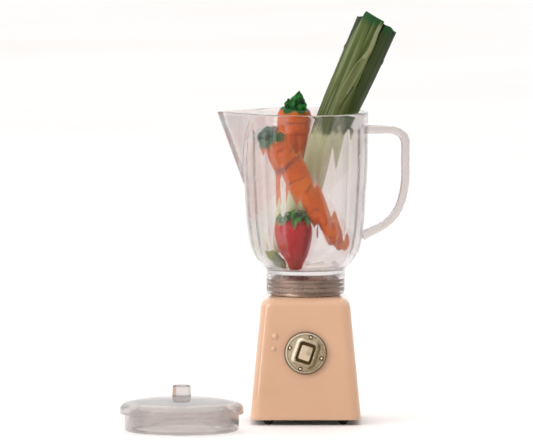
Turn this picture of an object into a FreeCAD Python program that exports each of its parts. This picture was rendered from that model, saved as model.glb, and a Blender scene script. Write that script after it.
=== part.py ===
"""Toy blender for a doll's house, with its loose lid and its play vegetables.

Frame: the origin is on the axis of the jug, on the surface the toy stands on.
+X points to the jug's handle, -X to its spout, -Y to the dial, +Z up. Millimetres.
"""
import FreeCAD, Part
import math
import os

V = FreeCAD.Vector
UP = V(0, 0, 1)

# ---------------------------------------------------------------- driving sizes
# Casing: a square, tapered, painted shell
CASING_BOTTOM_WIDTH = 24.84
CASING_TOP_WIDTH = 19.53
CASING_HEIGHT = 26.95
CASING_WALL = 1.2
CASING_CORNER_RADIUS = 2.5
CASING_SHOULDER_RADIUS = 2.1
CASING_INNER_RADIUS = 1.0
CASING_HEM_RADIUS = 0.35
# Cast pips beside the dial: (along the face, up the face, radius), from the dial's centre
PIPS = ((-6.78, 3.73, 0.80), (-7.07, 0.99, 0.63))
PIP_HEIGHT_SHARE = 0.62

# Base plate, its screws and the rubber feet
PLATE_THICKNESS = 1.0
PLATE_CLEARANCE = 0.1
PLATE_RECESS = 0.15
POST_RADIUS = 1.7
POST_HEIGHT = 10.5
POST_FROM_WALL = 1.55
SCREW_HOLE_RADIUS = 0.62
SCREW_HOLE_DEPTH = 6.0
SCREW_SHANK_RADIUS = 0.55
SCREW_LENGTH = 4.6
SCREW_HEAD_RADIUS = 1.15
SCREW_HEAD_HEIGHT = 0.55
SCREW_SLOT_WIDTH = 0.3
SCREW_SLOT_DEPTH = 0.25
FOOT_HEIGHT = 1.16
FOOT_RADIUS = 1.3
FOOT_FLAT_RADIUS = 0.6
FOOT_INSET = 4.12
FOOT_STEM_RADIUS = 0.6
FOOT_BARB_RADIUS = 0.85
FOOT_BARB_HEIGHT = 0.5

# Turned seat that the jug's skirt slides over
SEAT_RADIUS = 7.45
SEAT_HEIGHT = 4.89
SEAT_GROOVE_DEPTH = 0.28
SEAT_GROOVE_PITCH = 1.0
SEAT_GROOVES = 4
SEAT_CHAMFER = 0.7
SEAT_SCREW_RADIUS = 0.8
SEAT_SCREW_CLEARANCE = 0.05
SEAT_SCREW_REACH = 2.8
SEAT_SCREW_END_ROOM = 0.3
SEAT_SCREW_HEAD_RADIUS = 1.5
SEAT_SCREW_HEAD_HEIGHT = 0.8
WASHER_RADIUS = 2.2
WASHER_THICKNESS = 0.3

# Dial: plate with its hub, rivets, push nut, key, key spring and key clip
DIAL_HEIGHT = 16.0
DIAL_TURN = -18.5
DIAL_RADIUS = 4.6
DIAL_RIM_WIDTH = 0.42
DIAL_RIM_HEIGHT = 0.95
DIAL_LAND_HEIGHT = 0.7
DIAL_GAP = 0.05
DIAL_BOSS_WIDTH = 5.1
DIAL_BOSS_LENGTH = 6.0
DIAL_BOSS_HEIGHT = 1.3
DIAL_BOSS_CORNER = 1.3
DIAL_BOSS_CHAMFER = 0.35
DIAL_WINDOW_WIDTH = 3.6
DIAL_WINDOW_LENGTH = 4.6
DIAL_WINDOW_CORNER = 0.7
DIAL_FLOOR = 0.3
HUB_RADIUS = 1.6
HUB_CLEARANCE = 0.05
HUB_LENGTH = 2.1
SPRING_BORE_RADIUS = 1.1
SPRING_BORE_DEPTH = 1.0
RIVET_CIRCLE_RADIUS = 3.7
RIVET_COUNT = 4
RIVET_HEAD_RADIUS = 0.33
RIVET_SHANK_RADIUS = 0.2
RIVET_RECESS_RADIUS = 0.5
RIVET_RECESS_DEPTH = 0.12
NUT_RADIUS = 2.6
NUT_THICKNESS = 0.4
NUT_GAP = 0.1
KEY_WIDTH = 2.5
KEY_LENGTH = 3.2
KEY_CORNER = 0.35
KEY_TOP = 1.38
KEY_UNDERSIDE = 0.78
KEY_TRAVEL = 0.4
KEY_STEM_RADIUS = 0.6
KEY_STEM_CLEARANCE = 0.08
CLIP_RADIUS = 1.15
CLIP_THICKNESS = 0.25
SPRING_CLEARANCE = 0.06

# Jug: one clear moulding with a skirt, a bowl, a fluted wall and a spout
SKIRT_GAP = 0.2
SKIRT_RADIUS = 8.7
SKIRT_WALL = 1.0
SKIRT_EDGE_RADIUS = 0.85
JUG_HEIGHT = 40.64
JUG_RADIUS = 13.9
JUG_WALL = 1.05
JUG_FLOOR = 0.9
JUG_FLOOR_CORNER = 1.0
NECK_RISE = 0.0
BOWL_RISE = 3.25
BOWL_SHORTFALL = 1.97
BOWL_RADIUS = 8.0
HIP_RISE = 8.95
HIP_SHORTFALL = 0.89
HIP_RADIUS = 45.0
WAIST_RISE = 23.5
WAIST_RADIUS = 100.0
SPOUT_REACH = 19.65
SPOUT_HEIGHT = 16.15
SPOUT_INNER_RISE = 1.2

# Flutes: shallow upright hollows in the jug's inner wall, with narrow ribs left between them
FLUTES = 20
FLUTE_DEPTH = 0.19
FLUTE_OVERLAP = 0.05
FLUTE_TOP_DROP = 3.65
FLUTE_FOOT_RISE = 6.2
FLUTE_FADE = 3.0
FLUTE_FIRST_RIB = -97.4
FLUTE_SECTIONS = 9

# Handle: a clear bar let into the wall of the jug
HANDLE_THICKNESS = 2.1
HANDLE_WIDTH = 2.8
HANDLE_EDGE_RADIUS = 0.6
HANDLE_BOND_DEPTH = 0.35
HANDLE_TOP_DROP = 4.0
HANDLE_REACH = 22.24
HANDLE_TOP_BEND = 3.2
HANDLE_GRIP_END_DROP = 13.75
HANDLE_LONG_BEND = 21.5
HANDLE_LONG_TURN = 17.5
HANDLE_LOWER_BEND = 9.5
HANDLE_LOWER_TURN = 46.5

# Lid, standing on the table beside the blender
LID_X = -27.4
LID_Y = -24.0
LID_PLUG_RADIUS = 12.65
LID_PLUG_DEPTH = 3.85
LID_PLUG_WALL = 1.0
LID_PLUG_EDGE_RADIUS = 0.9
LID_FLANGE_RADIUS = 13.69
LID_FLANGE_EDGE = 0.8
LID_CROWN_RADIUS = 1.7
LID_DOME_RISE = 0.75
LID_TOP_THICKNESS = 1.25
LID_CEILING_RADIUS = 0.9
LID_LAND_MARGIN = 0.3
KNOB_RADIUS = 2.08
KNOB_TOP_RADIUS = 2.0
KNOB_HEIGHT = 2.7
KNOB_EDGE_RADIUS = 0.45
KNOB_STUB_RADIUS = 0.9
KNOB_STUB_LENGTH = 1.0

# Vegetables: foot and tip of each axis as shares (across, deep, up) of the jug's radius and inner height,
# and the radius along the axis as (share of length, share of the jug's radius)
LEEK_FOOT = (-0.4992, 0.2979, 0.0749)
LEEK_TIP = (1.1835, 0.1583, 1.5863)
LEEK_FLATTEN = 0.85
LEEK_RADII = (
    (0.0, 0.0), (0.01, 0.086), (0.045, 0.158), (0.12, 0.209), (0.28, 0.234), (0.43, 0.266), (0.62, 0.313),
    (0.81, 0.338), (1.0, 0.349),
)
# Outer leaves: where each begins across the leek and how far it stops short, as shares of its half width
LEEK_OUTER_LEAVES = ((0.42, 0.247), (-0.62, 0.165))
FRONT_CARROT_FOOT = (0.6187, -0.2302, 0.1284)
FRONT_CARROT_TIP = (-0.5353, -0.3741, 0.8317)
FRONT_CARROT_RADII = (
    (0.0, 0.0), (0.015, 0.086), (0.06, 0.133), (0.2, 0.158), (0.45, 0.205), (0.75, 0.230), (0.9, 0.223),
    (0.97, 0.180), (1.0, 0.101),
)
BACK_CARROT_FOOT = (-0.3165, 0.6187, 0.3167)
BACK_CARROT_TIP = (-0.1655, 0.3453, 1.0214)
BACK_CARROT_RADII = (
    (0.0, 0.0), (0.015, 0.050), (0.08, 0.086), (0.3, 0.137), (0.6, 0.209), (0.85, 0.273), (0.94, 0.263),
    (0.985, 0.194), (1.0, 0.115),
)
# Knobs of the carrots' leaf tufts as (x, y, z, radius) from the crown, all as shares of the knob radius
CARROT_TUFT_SHARE = 0.068
FRONT_TUFT_RING = 5
FRONT_TUFT_SPREAD = 1.58
BACK_TUFT = (
    (0.32, 0.0, 0.21, 1.7), (0.53, 0.0, 1.47, 1.35), (0.42, 0.0, 2.63, 0.95), (-1.58, -0.32, 0.74, 0.6),
)
STRAWBERRY_FOOT = (-0.1655, -0.2590, 0.0057)
STRAWBERRY_TIP = (-0.1655, -0.2590, 0.3338)
STRAWBERRY_RADII = (
    (0.0, 0.0), (0.02, 0.072), (0.1, 0.126), (0.35, 0.234), (0.6, 0.295), (0.72, 0.302), (0.9, 0.252),
    (0.98, 0.158), (1.0, 0.072),
)
# Small leaf that lies on the jug's floor and leans on its wall
FALLEN_LEAF_BASE = (-0.3022, -0.1151, 0.0150)
FALLEN_LEAF_POINT = (-0.6547, -0.1367, 0.1190)
FALLEN_LEAF_WIDTH = 0.187
FALLEN_LEAF_THICKNESS = 0.04
FALLEN_LEAF_CURL = 0.06
# Leaves on the strawberry: spread as a share of the jug's radius, the rest as shares of that spread
CALYX_LEAVES = 7
CALYX_SPREAD = 0.209
CALYX_LEAF_WIDTH = 0.26
CALYX_THICKNESS_SHARE = 0.155
CALYX_LIFT = 0.12
CALYX_STALK = 0.17
CALYX_DROOP = 14.0

# ---------------------------------------------------------------- derived heights and places
CASING_FLOOR_Z = FOOT_HEIGHT
CASING_TOP_Z = CASING_FLOOR_Z + CASING_HEIGHT
CASING_DRAFT = math.degrees(math.atan((CASING_BOTTOM_WIDTH - CASING_TOP_WIDTH) / 2 / CASING_HEIGHT))
PLATE_TOP_Z = CASING_FLOOR_Z + PLATE_RECESS + PLATE_THICKNESS
SEAT_TOP_Z = CASING_TOP_Z + SEAT_HEIGHT
SKIRT_BOTTOM_Z = CASING_TOP_Z + SKIRT_GAP
JUG_FLOOR_Z = SEAT_TOP_Z + JUG_FLOOR
NECK_TOP_Z = JUG_FLOOR_Z + NECK_RISE
RIM_Z = SKIRT_BOTTOM_Z + JUG_HEIGHT
LID_SHOULDER_Z = LID_PLUG_DEPTH + LID_FLANGE_EDGE + LID_CROWN_RADIUS
LID_TOP_Z = LID_SHOULDER_Z + LID_DOME_RISE


def casing_half_width(z):
    """Half the outer width of the casing's flat sides at height z."""
    return CASING_BOTTOM_WIDTH / 2 - (z - CASING_FLOOR_Z) * math.tan(math.radians(CASING_DRAFT))


# ---------------------------------------------------------------- helpers
def save(shape, node):
    """Write one node's solid or group of solids."""
    shape.exportStep(f"parts/{node}.step")


def cylinder(radius, bottom, top, x=0.0, y=0.0):
    """Upright cylinder between two heights."""
    return Part.makeCylinder(radius, top - bottom, V(x, y, bottom), UP)


def tube(outer, inner, bottom, top, x=0.0, y=0.0):
    """Upright tube between two heights."""
    return cylinder(outer, bottom, top, x, y).cut(cylinder(inner, bottom - 1, top + 1, x, y))


def turned(points):
    """Solid of revolution about Z from a closed outline of (radius, z) points."""
    ring = [V(r, 0, z) for r, z in points]
    return Part.Face(Part.makePolygon(ring + [ring[0]])).revolve(V(0, 0, 0), UP, 360)


def rounded_outline(points, radii):
    """Open run of edges in the XZ plane through (r, z) corners, each corner rounded to its radius."""
    corners = [V(r, 0, z) for r, z in points]
    edges = []
    start = corners[0]
    for i in range(1, len(corners) - 1):
        before = (corners[i - 1] - corners[i]).normalize()
        after = (corners[i + 1] - corners[i]).normalize()
        radius = radii[i]
        if radius <= 0:
            edges.append(Part.LineSegment(start, corners[i]).toShape())
            start = corners[i]
            continue
        half = before.getAngle(after) / 2
        enter = corners[i] + before * (radius / math.tan(half))
        leave = corners[i] + after * (radius / math.tan(half))
        middle = corners[i] + (before + after).normalize() * (radius / math.sin(half) - radius)
        edges.append(Part.LineSegment(start, enter).toShape())
        edges.append(Part.Arc(enter, middle, leave).toShape())
        start = leave
    edges.append(Part.LineSegment(start, corners[-1]).toShape())
    return edges


def turned_rounded(points, radii):
    """Solid of revolution about Z from (r, z) corners that start and end on the axis."""
    edges = rounded_outline(points, radii)
    closing = Part.LineSegment(V(points[-1][0], 0, points[-1][1]), V(points[0][0], 0, points[0][1]))
    wire = Part.Wire(edges + [closing.toShape()])
    return Part.Face(wire).revolve(V(0, 0, 0), UP, 360)


def rounded_block(width, length, bottom, top, corner):
    """Upright block on a rectangle with rounded upright edges, centred on Z."""
    block = Part.makeBox(width, length, top - bottom, V(-width / 2, -length / 2, bottom))
    upright = [e for e in block.Edges if abs(e.tangentAt(e.FirstParameter).z) > 0.99]
    return block.makeFillet(corner, upright)


def frustum(bottom_half, top_half, bottom, top):
    """Square pyramid frustum centred on Z."""
    shift = bottom_half - top_half
    wedge = Part.makeWedge(
        0, 0, 0, shift, shift, 2 * bottom_half, top - bottom, 2 * bottom_half,
        2 * bottom_half - shift, 2 * bottom_half - shift,
    )
    wedge.rotate(V(0, 0, 0), V(1, 0, 0), 90)
    wedge.translate(V(-bottom_half, bottom_half, bottom))
    return wedge


def swept_radius(table):
    """Closed solid of revolution about Z through (z, radius) points, smooth along its side."""
    side = Part.BSplineCurve()
    side.interpolate([V(r, 0, z) for z, r in table])
    edges = [side.toShape()]
    low, high = table[0], table[-1]
    if high[1] > 0:
        edges.append(Part.LineSegment(V(high[1], 0, high[0]), V(0, 0, high[0])).toShape())
    edges.append(Part.LineSegment(V(0, 0, high[0]), V(0, 0, low[0])).toShape())
    if low[1] > 0:
        edges.append(Part.LineSegment(V(0, 0, low[0]), V(low[1], 0, low[0])).toShape())
    return Part.Face(Part.Wire(edges)).revolve(V(0, 0, 0), UP, 360)


def stand(shape, foot, tip):
    """Turn a shape built up the Z axis so that the axis runs from foot to tip."""
    placed = shape.copy()
    placed.Placement = FreeCAD.Placement(foot, FreeCAD.Rotation(UP, tip - foot))
    return placed


def on_face(shape, turn=0.0):
    """Place a shape built on Z onto the middle of the dial's seat, on the casing's sloping front."""
    placed = shape.copy()
    lean = FreeCAD.Rotation(V(1, 0, 0), 90 - CASING_DRAFT)
    spin = FreeCAD.Rotation(UP, turn)
    centre = V(0, -casing_half_width(DIAL_HEIGHT), DIAL_HEIGHT)
    placed.Placement = FreeCAD.Placement(centre, lean.multiply(spin))
    return placed


# ---------------------------------------------------------------- base
def post_offset():
    """Distance of each screw post from the middle, against the inside of a side wall."""
    return casing_half_width(PLATE_TOP_Z) - CASING_WALL - POST_FROM_WALL


def foot_offset():
    """Distance of each foot from the middle along X and along Y."""
    return CASING_BOTTOM_WIDTH / 2 - FOOT_INSET


def make_casing():
    """Tapered square shell, open below, with two screw posts, a dial bore and two cast pips."""
    floor, top = CASING_FLOOR_Z, CASING_TOP_Z
    outer = frustum(casing_half_width(floor), casing_half_width(top), floor, top)
    corners = [e for e in outer.Edges if abs(e.tangentAt(e.FirstParameter).z) > 0.9]
    outer = outer.makeFillet(CASING_CORNER_RADIUS, corners)
    shoulder = [e for e in outer.Edges if min(v.Point.z for v in e.Vertexes) > CASING_TOP_Z - 0.01]
    outer = outer.makeFillet(CASING_SHOULDER_RADIUS, shoulder)
    hem = [e for e in outer.Edges if max(v.Point.z for v in e.Vertexes) < CASING_FLOOR_Z + 0.01]
    outer = outer.makeFillet(CASING_HEM_RADIUS, hem)

    roof = CASING_TOP_Z - CASING_WALL
    below = CASING_FLOOR_Z - 1
    half_below, half_roof = casing_half_width(below) - CASING_WALL, casing_half_width(roof) - CASING_WALL
    inner = frustum(half_below, half_roof, below, roof)
    uprights = [e for e in inner.Edges if abs(e.tangentAt(e.FirstParameter).z) > 0.9]
    inner = inner.makeFillet(CASING_INNER_RADIUS, uprights)
    shell = outer.cut(inner)

    for side in (-1, 1):
        x = side * post_offset()
        post = cylinder(POST_RADIUS, PLATE_TOP_Z, PLATE_TOP_Z + POST_HEIGHT, x)
        shell = shell.fuse(post.common(outer))
        shell = shell.cut(cylinder(SCREW_HOLE_RADIUS, PLATE_TOP_Z - 1, PLATE_TOP_Z + SCREW_HOLE_DEPTH, x))
    for along, up, radius in PIPS:
        bead = Part.makeSphere(radius, V(along, up, -radius * (1 - PIP_HEIGHT_SHARE)))
        shell = shell.fuse(on_face(bead).cut(inner))
    bore = Part.makeCylinder(HUB_RADIUS + HUB_CLEARANCE, 2 + 2 * CASING_WALL, V(0, 0, -1 - CASING_WALL), UP)
    shell = shell.cut(on_face(bore))
    screw_bore = SEAT_SCREW_RADIUS + SEAT_SCREW_CLEARANCE
    return shell.cut(cylinder(screw_bore, roof - 1, CASING_TOP_Z + 1)).removeSplitter()


def make_base_plate():
    """Square plate that closes the casing, with holes for the feet and sunk holes for the screws."""
    bottom = CASING_FLOOR_Z + PLATE_RECESS
    half = casing_half_width(PLATE_TOP_Z) - CASING_WALL - PLATE_CLEARANCE
    plate = rounded_block(2 * half, 2 * half, bottom, PLATE_TOP_Z, CASING_INNER_RADIUS)
    for side in (-1, 1):
        x = side * post_offset()
        plate = plate.cut(cylinder(SCREW_HOLE_RADIUS, bottom - 1, PLATE_TOP_Z + 1, x))
        sink = cylinder(SCREW_HEAD_RADIUS + PLATE_CLEARANCE, bottom - 1, bottom + SCREW_HEAD_HEIGHT, x)
        plate = plate.cut(sink)
    for x, y in foot_places():
        plate = plate.cut(cylinder(FOOT_STEM_RADIUS, bottom - 1, PLATE_TOP_Z + 1, x, y))
    return plate


def make_base_screws():
    """The two slotted screws that hold the base plate."""
    bottom = CASING_FLOOR_Z + PLATE_RECESS
    screws = []
    for side in (-1, 1):
        x = side * post_offset()
        head = cylinder(SCREW_HEAD_RADIUS, bottom, bottom + SCREW_HEAD_HEIGHT, x)
        slot = Part.makeBox(
            4 * SCREW_HEAD_RADIUS, SCREW_SLOT_WIDTH, SCREW_SLOT_DEPTH,
            V(x - 2 * SCREW_HEAD_RADIUS, -SCREW_SLOT_WIDTH / 2, bottom),
        )
        shank = cylinder(SCREW_SHANK_RADIUS, bottom + SCREW_HEAD_HEIGHT, bottom + SCREW_LENGTH, x)
        screws.append(head.cut(slot).fuse(shank).removeSplitter())
    return Part.makeCompound(screws)


def foot_places():
    """Centre of each foot, front left, front right, back left and back right."""
    offset = foot_offset()
    return [(-offset, -offset), (offset, -offset), (-offset, offset), (offset, offset)]


def make_foot(x, y):
    """Rubber bumper: a dome under the plate, a stem through it and a barb above it."""
    seat = CASING_FLOOR_Z + PLATE_RECESS
    outline = [
        (0, 0), (FOOT_FLAT_RADIUS, 0), (FOOT_RADIUS, seat * 0.62), (FOOT_RADIUS, seat),
        (FOOT_STEM_RADIUS, seat), (FOOT_STEM_RADIUS, PLATE_TOP_Z), (FOOT_BARB_RADIUS, PLATE_TOP_Z),
        (FOOT_STEM_RADIUS * 0.7, PLATE_TOP_Z + FOOT_BARB_HEIGHT), (0, PLATE_TOP_Z + FOOT_BARB_HEIGHT),
    ]
    dome = min(FOOT_RADIUS - FOOT_FLAT_RADIUS, seat * 0.62) * 0.9
    foot = turned_rounded(outline, [0, 0, dome] + [0] * (len(outline) - 3))
    foot.translate(V(x, y, 0))
    return foot


# ---------------------------------------------------------------- jug seat
def make_jug_seat():
    """Turned boss with ring grooves and a blind hole for its screw."""
    bottom, top = CASING_TOP_Z, SEAT_TOP_Z
    outline = [(0, bottom), (SEAT_RADIUS, bottom)]
    margin = (SEAT_HEIGHT - SEAT_CHAMFER - SEAT_GROOVES * SEAT_GROOVE_PITCH) / 2
    for i in range(SEAT_GROOVES):
        z = bottom + margin + i * SEAT_GROOVE_PITCH
        outline += [
            (SEAT_RADIUS, z + 0.15 * SEAT_GROOVE_PITCH),
            (SEAT_RADIUS - SEAT_GROOVE_DEPTH, z + 0.4 * SEAT_GROOVE_PITCH),
            (SEAT_RADIUS - SEAT_GROOVE_DEPTH, z + 0.6 * SEAT_GROOVE_PITCH),
            (SEAT_RADIUS, z + 0.85 * SEAT_GROOVE_PITCH),
        ]
    outline += [(SEAT_RADIUS, top - SEAT_CHAMFER), (SEAT_RADIUS - SEAT_CHAMFER, top), (0, top)]
    hole = SEAT_SCREW_RADIUS + SEAT_SCREW_CLEARANCE
    return turned(outline).cut(cylinder(hole, bottom - 1, bottom + SEAT_SCREW_REACH + SEAT_SCREW_END_ROOM))


def make_seat_washer():
    """Washer between the seat screw's head and the casing's roof."""
    roof = CASING_TOP_Z - CASING_WALL
    return tube(WASHER_RADIUS, SEAT_SCREW_RADIUS + SEAT_SCREW_CLEARANCE, roof - WASHER_THICKNESS, roof)


def make_seat_screw():
    """Slotted screw that holds the seat from inside the casing."""
    under = CASING_TOP_Z - CASING_WALL - WASHER_THICKNESS
    head = cylinder(SEAT_SCREW_HEAD_RADIUS, under - SEAT_SCREW_HEAD_HEIGHT, under)
    slot = Part.makeBox(
        4 * SEAT_SCREW_HEAD_RADIUS, SCREW_SLOT_WIDTH, SCREW_SLOT_DEPTH,
        V(-2 * SEAT_SCREW_HEAD_RADIUS, -SCREW_SLOT_WIDTH / 2, under - SEAT_SCREW_HEAD_HEIGHT),
    )
    shank = cylinder(SEAT_SCREW_RADIUS, under, CASING_TOP_Z + SEAT_SCREW_REACH)
    return head.cut(slot).fuse(shank).removeSplitter()


# ---------------------------------------------------------------- dial, built with its axis on Z
def rivet_places():
    """Centre of each rivet on the dial plate."""
    step = 2 * math.pi / RIVET_COUNT
    return [
        (RIVET_CIRCLE_RADIUS * math.cos(i * step), RIVET_CIRCLE_RADIUS * math.sin(i * step))
        for i in range(RIVET_COUNT)
    ]


def make_dial_plate():
    """Round plate with a rim, a framed window for the key, rivet seats and a hollow hub behind."""
    edge = DIAL_RADIUS
    lip = DIAL_RIM_WIDTH
    outline = [
        (0, DIAL_GAP), (edge, DIAL_GAP),
        (edge, DIAL_RIM_HEIGHT - lip / 3), (edge - lip / 3, DIAL_RIM_HEIGHT),
        (edge - lip, DIAL_RIM_HEIGHT), (edge - 1.4 * lip, DIAL_LAND_HEIGHT), (0, DIAL_LAND_HEIGHT),
    ]
    plate = turned(outline)
    boss = rounded_block(DIAL_BOSS_WIDTH, DIAL_BOSS_LENGTH, DIAL_GAP, DIAL_BOSS_HEIGHT, DIAL_BOSS_CORNER)
    crest = [e for e in boss.Edges if min(v.Point.z for v in e.Vertexes) > DIAL_BOSS_HEIGHT - 0.01]
    plate = plate.fuse(boss.makeChamfer(DIAL_BOSS_CHAMFER, crest))
    plate = plate.cut(
        rounded_block(
            DIAL_WINDOW_WIDTH, DIAL_WINDOW_LENGTH, DIAL_FLOOR, DIAL_BOSS_HEIGHT + 1, DIAL_WINDOW_CORNER
        )
    )
    plate = plate.fuse(cylinder(HUB_RADIUS, -HUB_LENGTH, DIAL_GAP + 0.1))
    plate = plate.cut(cylinder(KEY_STEM_RADIUS + KEY_STEM_CLEARANCE, -HUB_LENGTH - 1, 2))
    plate = plate.cut(cylinder(SPRING_BORE_RADIUS, DIAL_FLOOR - SPRING_BORE_DEPTH, DIAL_FLOOR + 1))
    for x, y in rivet_places():
        depth = DIAL_LAND_HEIGHT - RIVET_RECESS_DEPTH
        plate = plate.cut(cylinder(RIVET_RECESS_RADIUS, depth, DIAL_BOSS_HEIGHT, x, y))
        plate = plate.cut(cylinder(RIVET_SHANK_RADIUS, -1, DIAL_BOSS_HEIGHT, x, y))
    return on_face(plate.removeSplitter(), DIAL_TURN)


def make_dial_rivets():
    """Round-headed rivets in the dial plate."""
    seat = DIAL_LAND_HEIGHT - RIVET_RECESS_DEPTH
    rivets = []
    for x, y in rivet_places():
        ball = Part.makeSphere(RIVET_HEAD_RADIUS, V(x, y, seat))
        head = ball.common(cylinder(RIVET_HEAD_RADIUS + 1, seat, seat + 1, x, y))
        rivets.append(head.fuse(cylinder(RIVET_SHANK_RADIUS, DIAL_GAP, seat, x, y)))
    return on_face(Part.makeCompound(rivets), DIAL_TURN)


def make_dial_nut():
    """Push nut on the hub, behind the casing's wall."""
    front = -CASING_WALL - NUT_GAP
    return on_face(tube(NUT_RADIUS, HUB_RADIUS, front - NUT_THICKNESS, front), DIAL_TURN)


def make_switch_key():
    """Rectangular push key on a round stem."""
    cap = rounded_block(KEY_WIDTH, KEY_LENGTH, KEY_UNDERSIDE, KEY_TOP, KEY_CORNER)
    crest = [e for e in cap.Edges if min(v.Point.z for v in e.Vertexes) > KEY_TOP - 0.01]
    cap = cap.makeFillet(0.12, crest)
    stem = cylinder(KEY_STEM_RADIUS, -HUB_LENGTH - CLIP_THICKNESS, KEY_UNDERSIDE)
    return on_face(cap.fuse(stem).removeSplitter(), DIAL_TURN)


def make_key_clip():
    """Clip on the key's stem, which stops against the end of the hub."""
    return on_face(tube(CLIP_RADIUS, KEY_STEM_RADIUS, -HUB_LENGTH - CLIP_THICKNESS, -HUB_LENGTH), DIAL_TURN)


def make_key_spring():
    """Envelope of the return coil in the hub, at the height it has with the key pressed."""
    bottom = DIAL_FLOOR - SPRING_BORE_DEPTH
    top = KEY_UNDERSIDE - KEY_TRAVEL
    outer = SPRING_BORE_RADIUS - SPRING_CLEARANCE
    return on_face(tube(outer, KEY_STEM_RADIUS + SPRING_CLEARANCE, bottom, top), DIAL_TURN)


# ---------------------------------------------------------------- jug
def wall_corners(inset):
    """Corners (r, z) of the jug's side from neck to rim, moved inwards square to each run by inset."""
    runs = [
        (SKIRT_RADIUS, NECK_TOP_Z),
        (JUG_RADIUS - BOWL_SHORTFALL, NECK_TOP_Z + BOWL_RISE),
        (JUG_RADIUS - HIP_SHORTFALL, NECK_TOP_Z + HIP_RISE),
        (JUG_RADIUS, NECK_TOP_Z + WAIST_RISE),
        (JUG_RADIUS, RIM_Z),
    ]
    if inset == 0:
        return runs
    lines = []
    for (r0, z0), (r1, z1) in zip(runs, runs[1:]):
        length = math.hypot(r1 - r0, z1 - z0)
        normal = (-(z1 - z0) / length * inset, (r1 - r0) / length * inset)
        lines.append(((r0 + normal[0], z0 + normal[1]), ((r1 - r0) / length, (z1 - z0) / length)))
    moved = [lines[0][0]]
    for (p, d), (q, e) in zip(lines, lines[1:]):
        cross = d[0] * e[1] - d[1] * e[0]
        t = ((q[0] - p[0]) * e[1] - (q[1] - p[1]) * e[0]) / cross
        moved.append((p[0] + d[0] * t, p[1] + d[1] * t))
    moved.append((lines[-1][0][0], RIM_Z))
    return moved


def jug_outside():
    """The jug's outer form above its neck, without spout, as a solid."""
    corners = wall_corners(0)
    outline = [(0, SKIRT_BOTTOM_Z), (SKIRT_RADIUS, SKIRT_BOTTOM_Z)] + corners + [(0, RIM_Z)]
    radii = [0, SKIRT_EDGE_RADIUS, 0, BOWL_RADIUS, HIP_RADIUS, WAIST_RADIUS, 0, 0]
    return turned_rounded(outline, radii)


def jug_hollow(extra=0.0):
    """The space inside the jug, carried a little above the rim, with the wall thicker by extra."""
    wall = JUG_WALL + extra
    corners = wall_corners(wall)
    (r0, z0), (r1, z1) = corners[0], corners[1]
    floor_radius = r0 + (r1 - r0) * (JUG_FLOOR_Z - z0) / (z1 - z0)
    over = [(corners[-1][0], RIM_Z + 1), (0, RIM_Z + 1)]
    outline = [(0, JUG_FLOOR_Z), (floor_radius, JUG_FLOOR_Z)] + corners[1:-1] + over
    radii = [0, JUG_FLOOR_CORNER, BOWL_RADIUS - wall, HIP_RADIUS - wall, WAIST_RADIUS - wall, 0, 0]
    return turned_rounded(outline, radii)


def spout_wedge(inset, lift):
    """Three-sided wedge of the spout: level on top, drawn to a point against the wall below."""
    radius = JUG_RADIUS - inset
    lean = math.acos(JUG_RADIUS / SPOUT_REACH)
    reach = SPOUT_REACH - inset / math.cos(lean)
    point = V(-radius + 0.15, 0, RIM_Z - SPOUT_HEIGHT + (SPOUT_INNER_RISE if inset else 0))
    flank = V(-radius * math.cos(lean), radius * math.sin(lean), RIM_Z)
    nose = V(-reach, 0, RIM_Z)
    stretch = 1 + lift / (RIM_Z - point.z)
    top = [point + (corner - point) * stretch for corner in (nose, flank, V(flank.x, -flank.y, flank.z))]
    faces = [Part.Face(Part.makePolygon([top[0], top[1], top[2], top[0]]))]
    for a, b in ((0, 1), (1, 2), (2, 0)):
        faces.append(Part.Face(Part.makePolygon([top[a], top[b], point, top[a]])))
    solid = Part.Solid(Part.Shell(faces))
    if solid.Volume < 0:
        solid.reverse()
    return solid


def flute_section(radius, depth, z):
    """Closed wire of one hollow arc per flute at height z, in a wall whose inner radius is given."""
    pitch = 360.0 / FLUTES

    def at(turn, reach):
        angle = math.radians(FLUTE_FIRST_RIB + turn)
        return V(reach * math.cos(angle), reach * math.sin(angle), z)

    rib, valley = radius - FLUTE_OVERLAP, radius + depth
    arcs = [
        Part.Arc(at(i * pitch, rib), at((i + 0.5) * pitch, valley), at((i + 1) * pitch, rib)).toShape()
        for i in range(FLUTES)
    ]
    return Part.Wire(arcs)


def make_flutes(hollow):
    """Core that cuts the flutes: it follows the jug's hollow and its arcs fade out towards the floor."""
    foot, top = JUG_FLOOR_Z + FLUTE_FOOT_RISE, RIM_Z - FLUTE_TOP_DROP
    sections = []
    for i in range(FLUTE_SECTIONS):
        z = foot + (top - foot) * (i / (FLUTE_SECTIONS - 1)) ** 1.5
        on_wall = hollow.slice(UP, z)[0].Vertexes[0].Point
        radius = math.hypot(on_wall.x, on_wall.y)
        depth = (FLUTE_DEPTH + FLUTE_OVERLAP) * min(1.0, (z - foot) / FLUTE_FADE) - FLUTE_OVERLAP
        sections.append(flute_section(radius, depth, z))
    return Part.makeLoft(sections, True)


def make_jug(handle):
    """Clear jug with a skirt below, a bowl, a fluted wall, a spout and pockets for the handle."""
    outer = jug_outside().fuse(spout_wedge(0, 0))
    round_hollow = jug_hollow()
    hollow = round_hollow.fuse(spout_wedge(JUG_WALL, 1))
    skirt_bore = cylinder(SKIRT_RADIUS - SKIRT_WALL, SKIRT_BOTTOM_Z - 1, SEAT_TOP_Z)
    jug = outer.cut(hollow).cut(skirt_bore).cut(handle).cut(make_flutes(round_hollow))
    return jug.removeSplitter()


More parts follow.
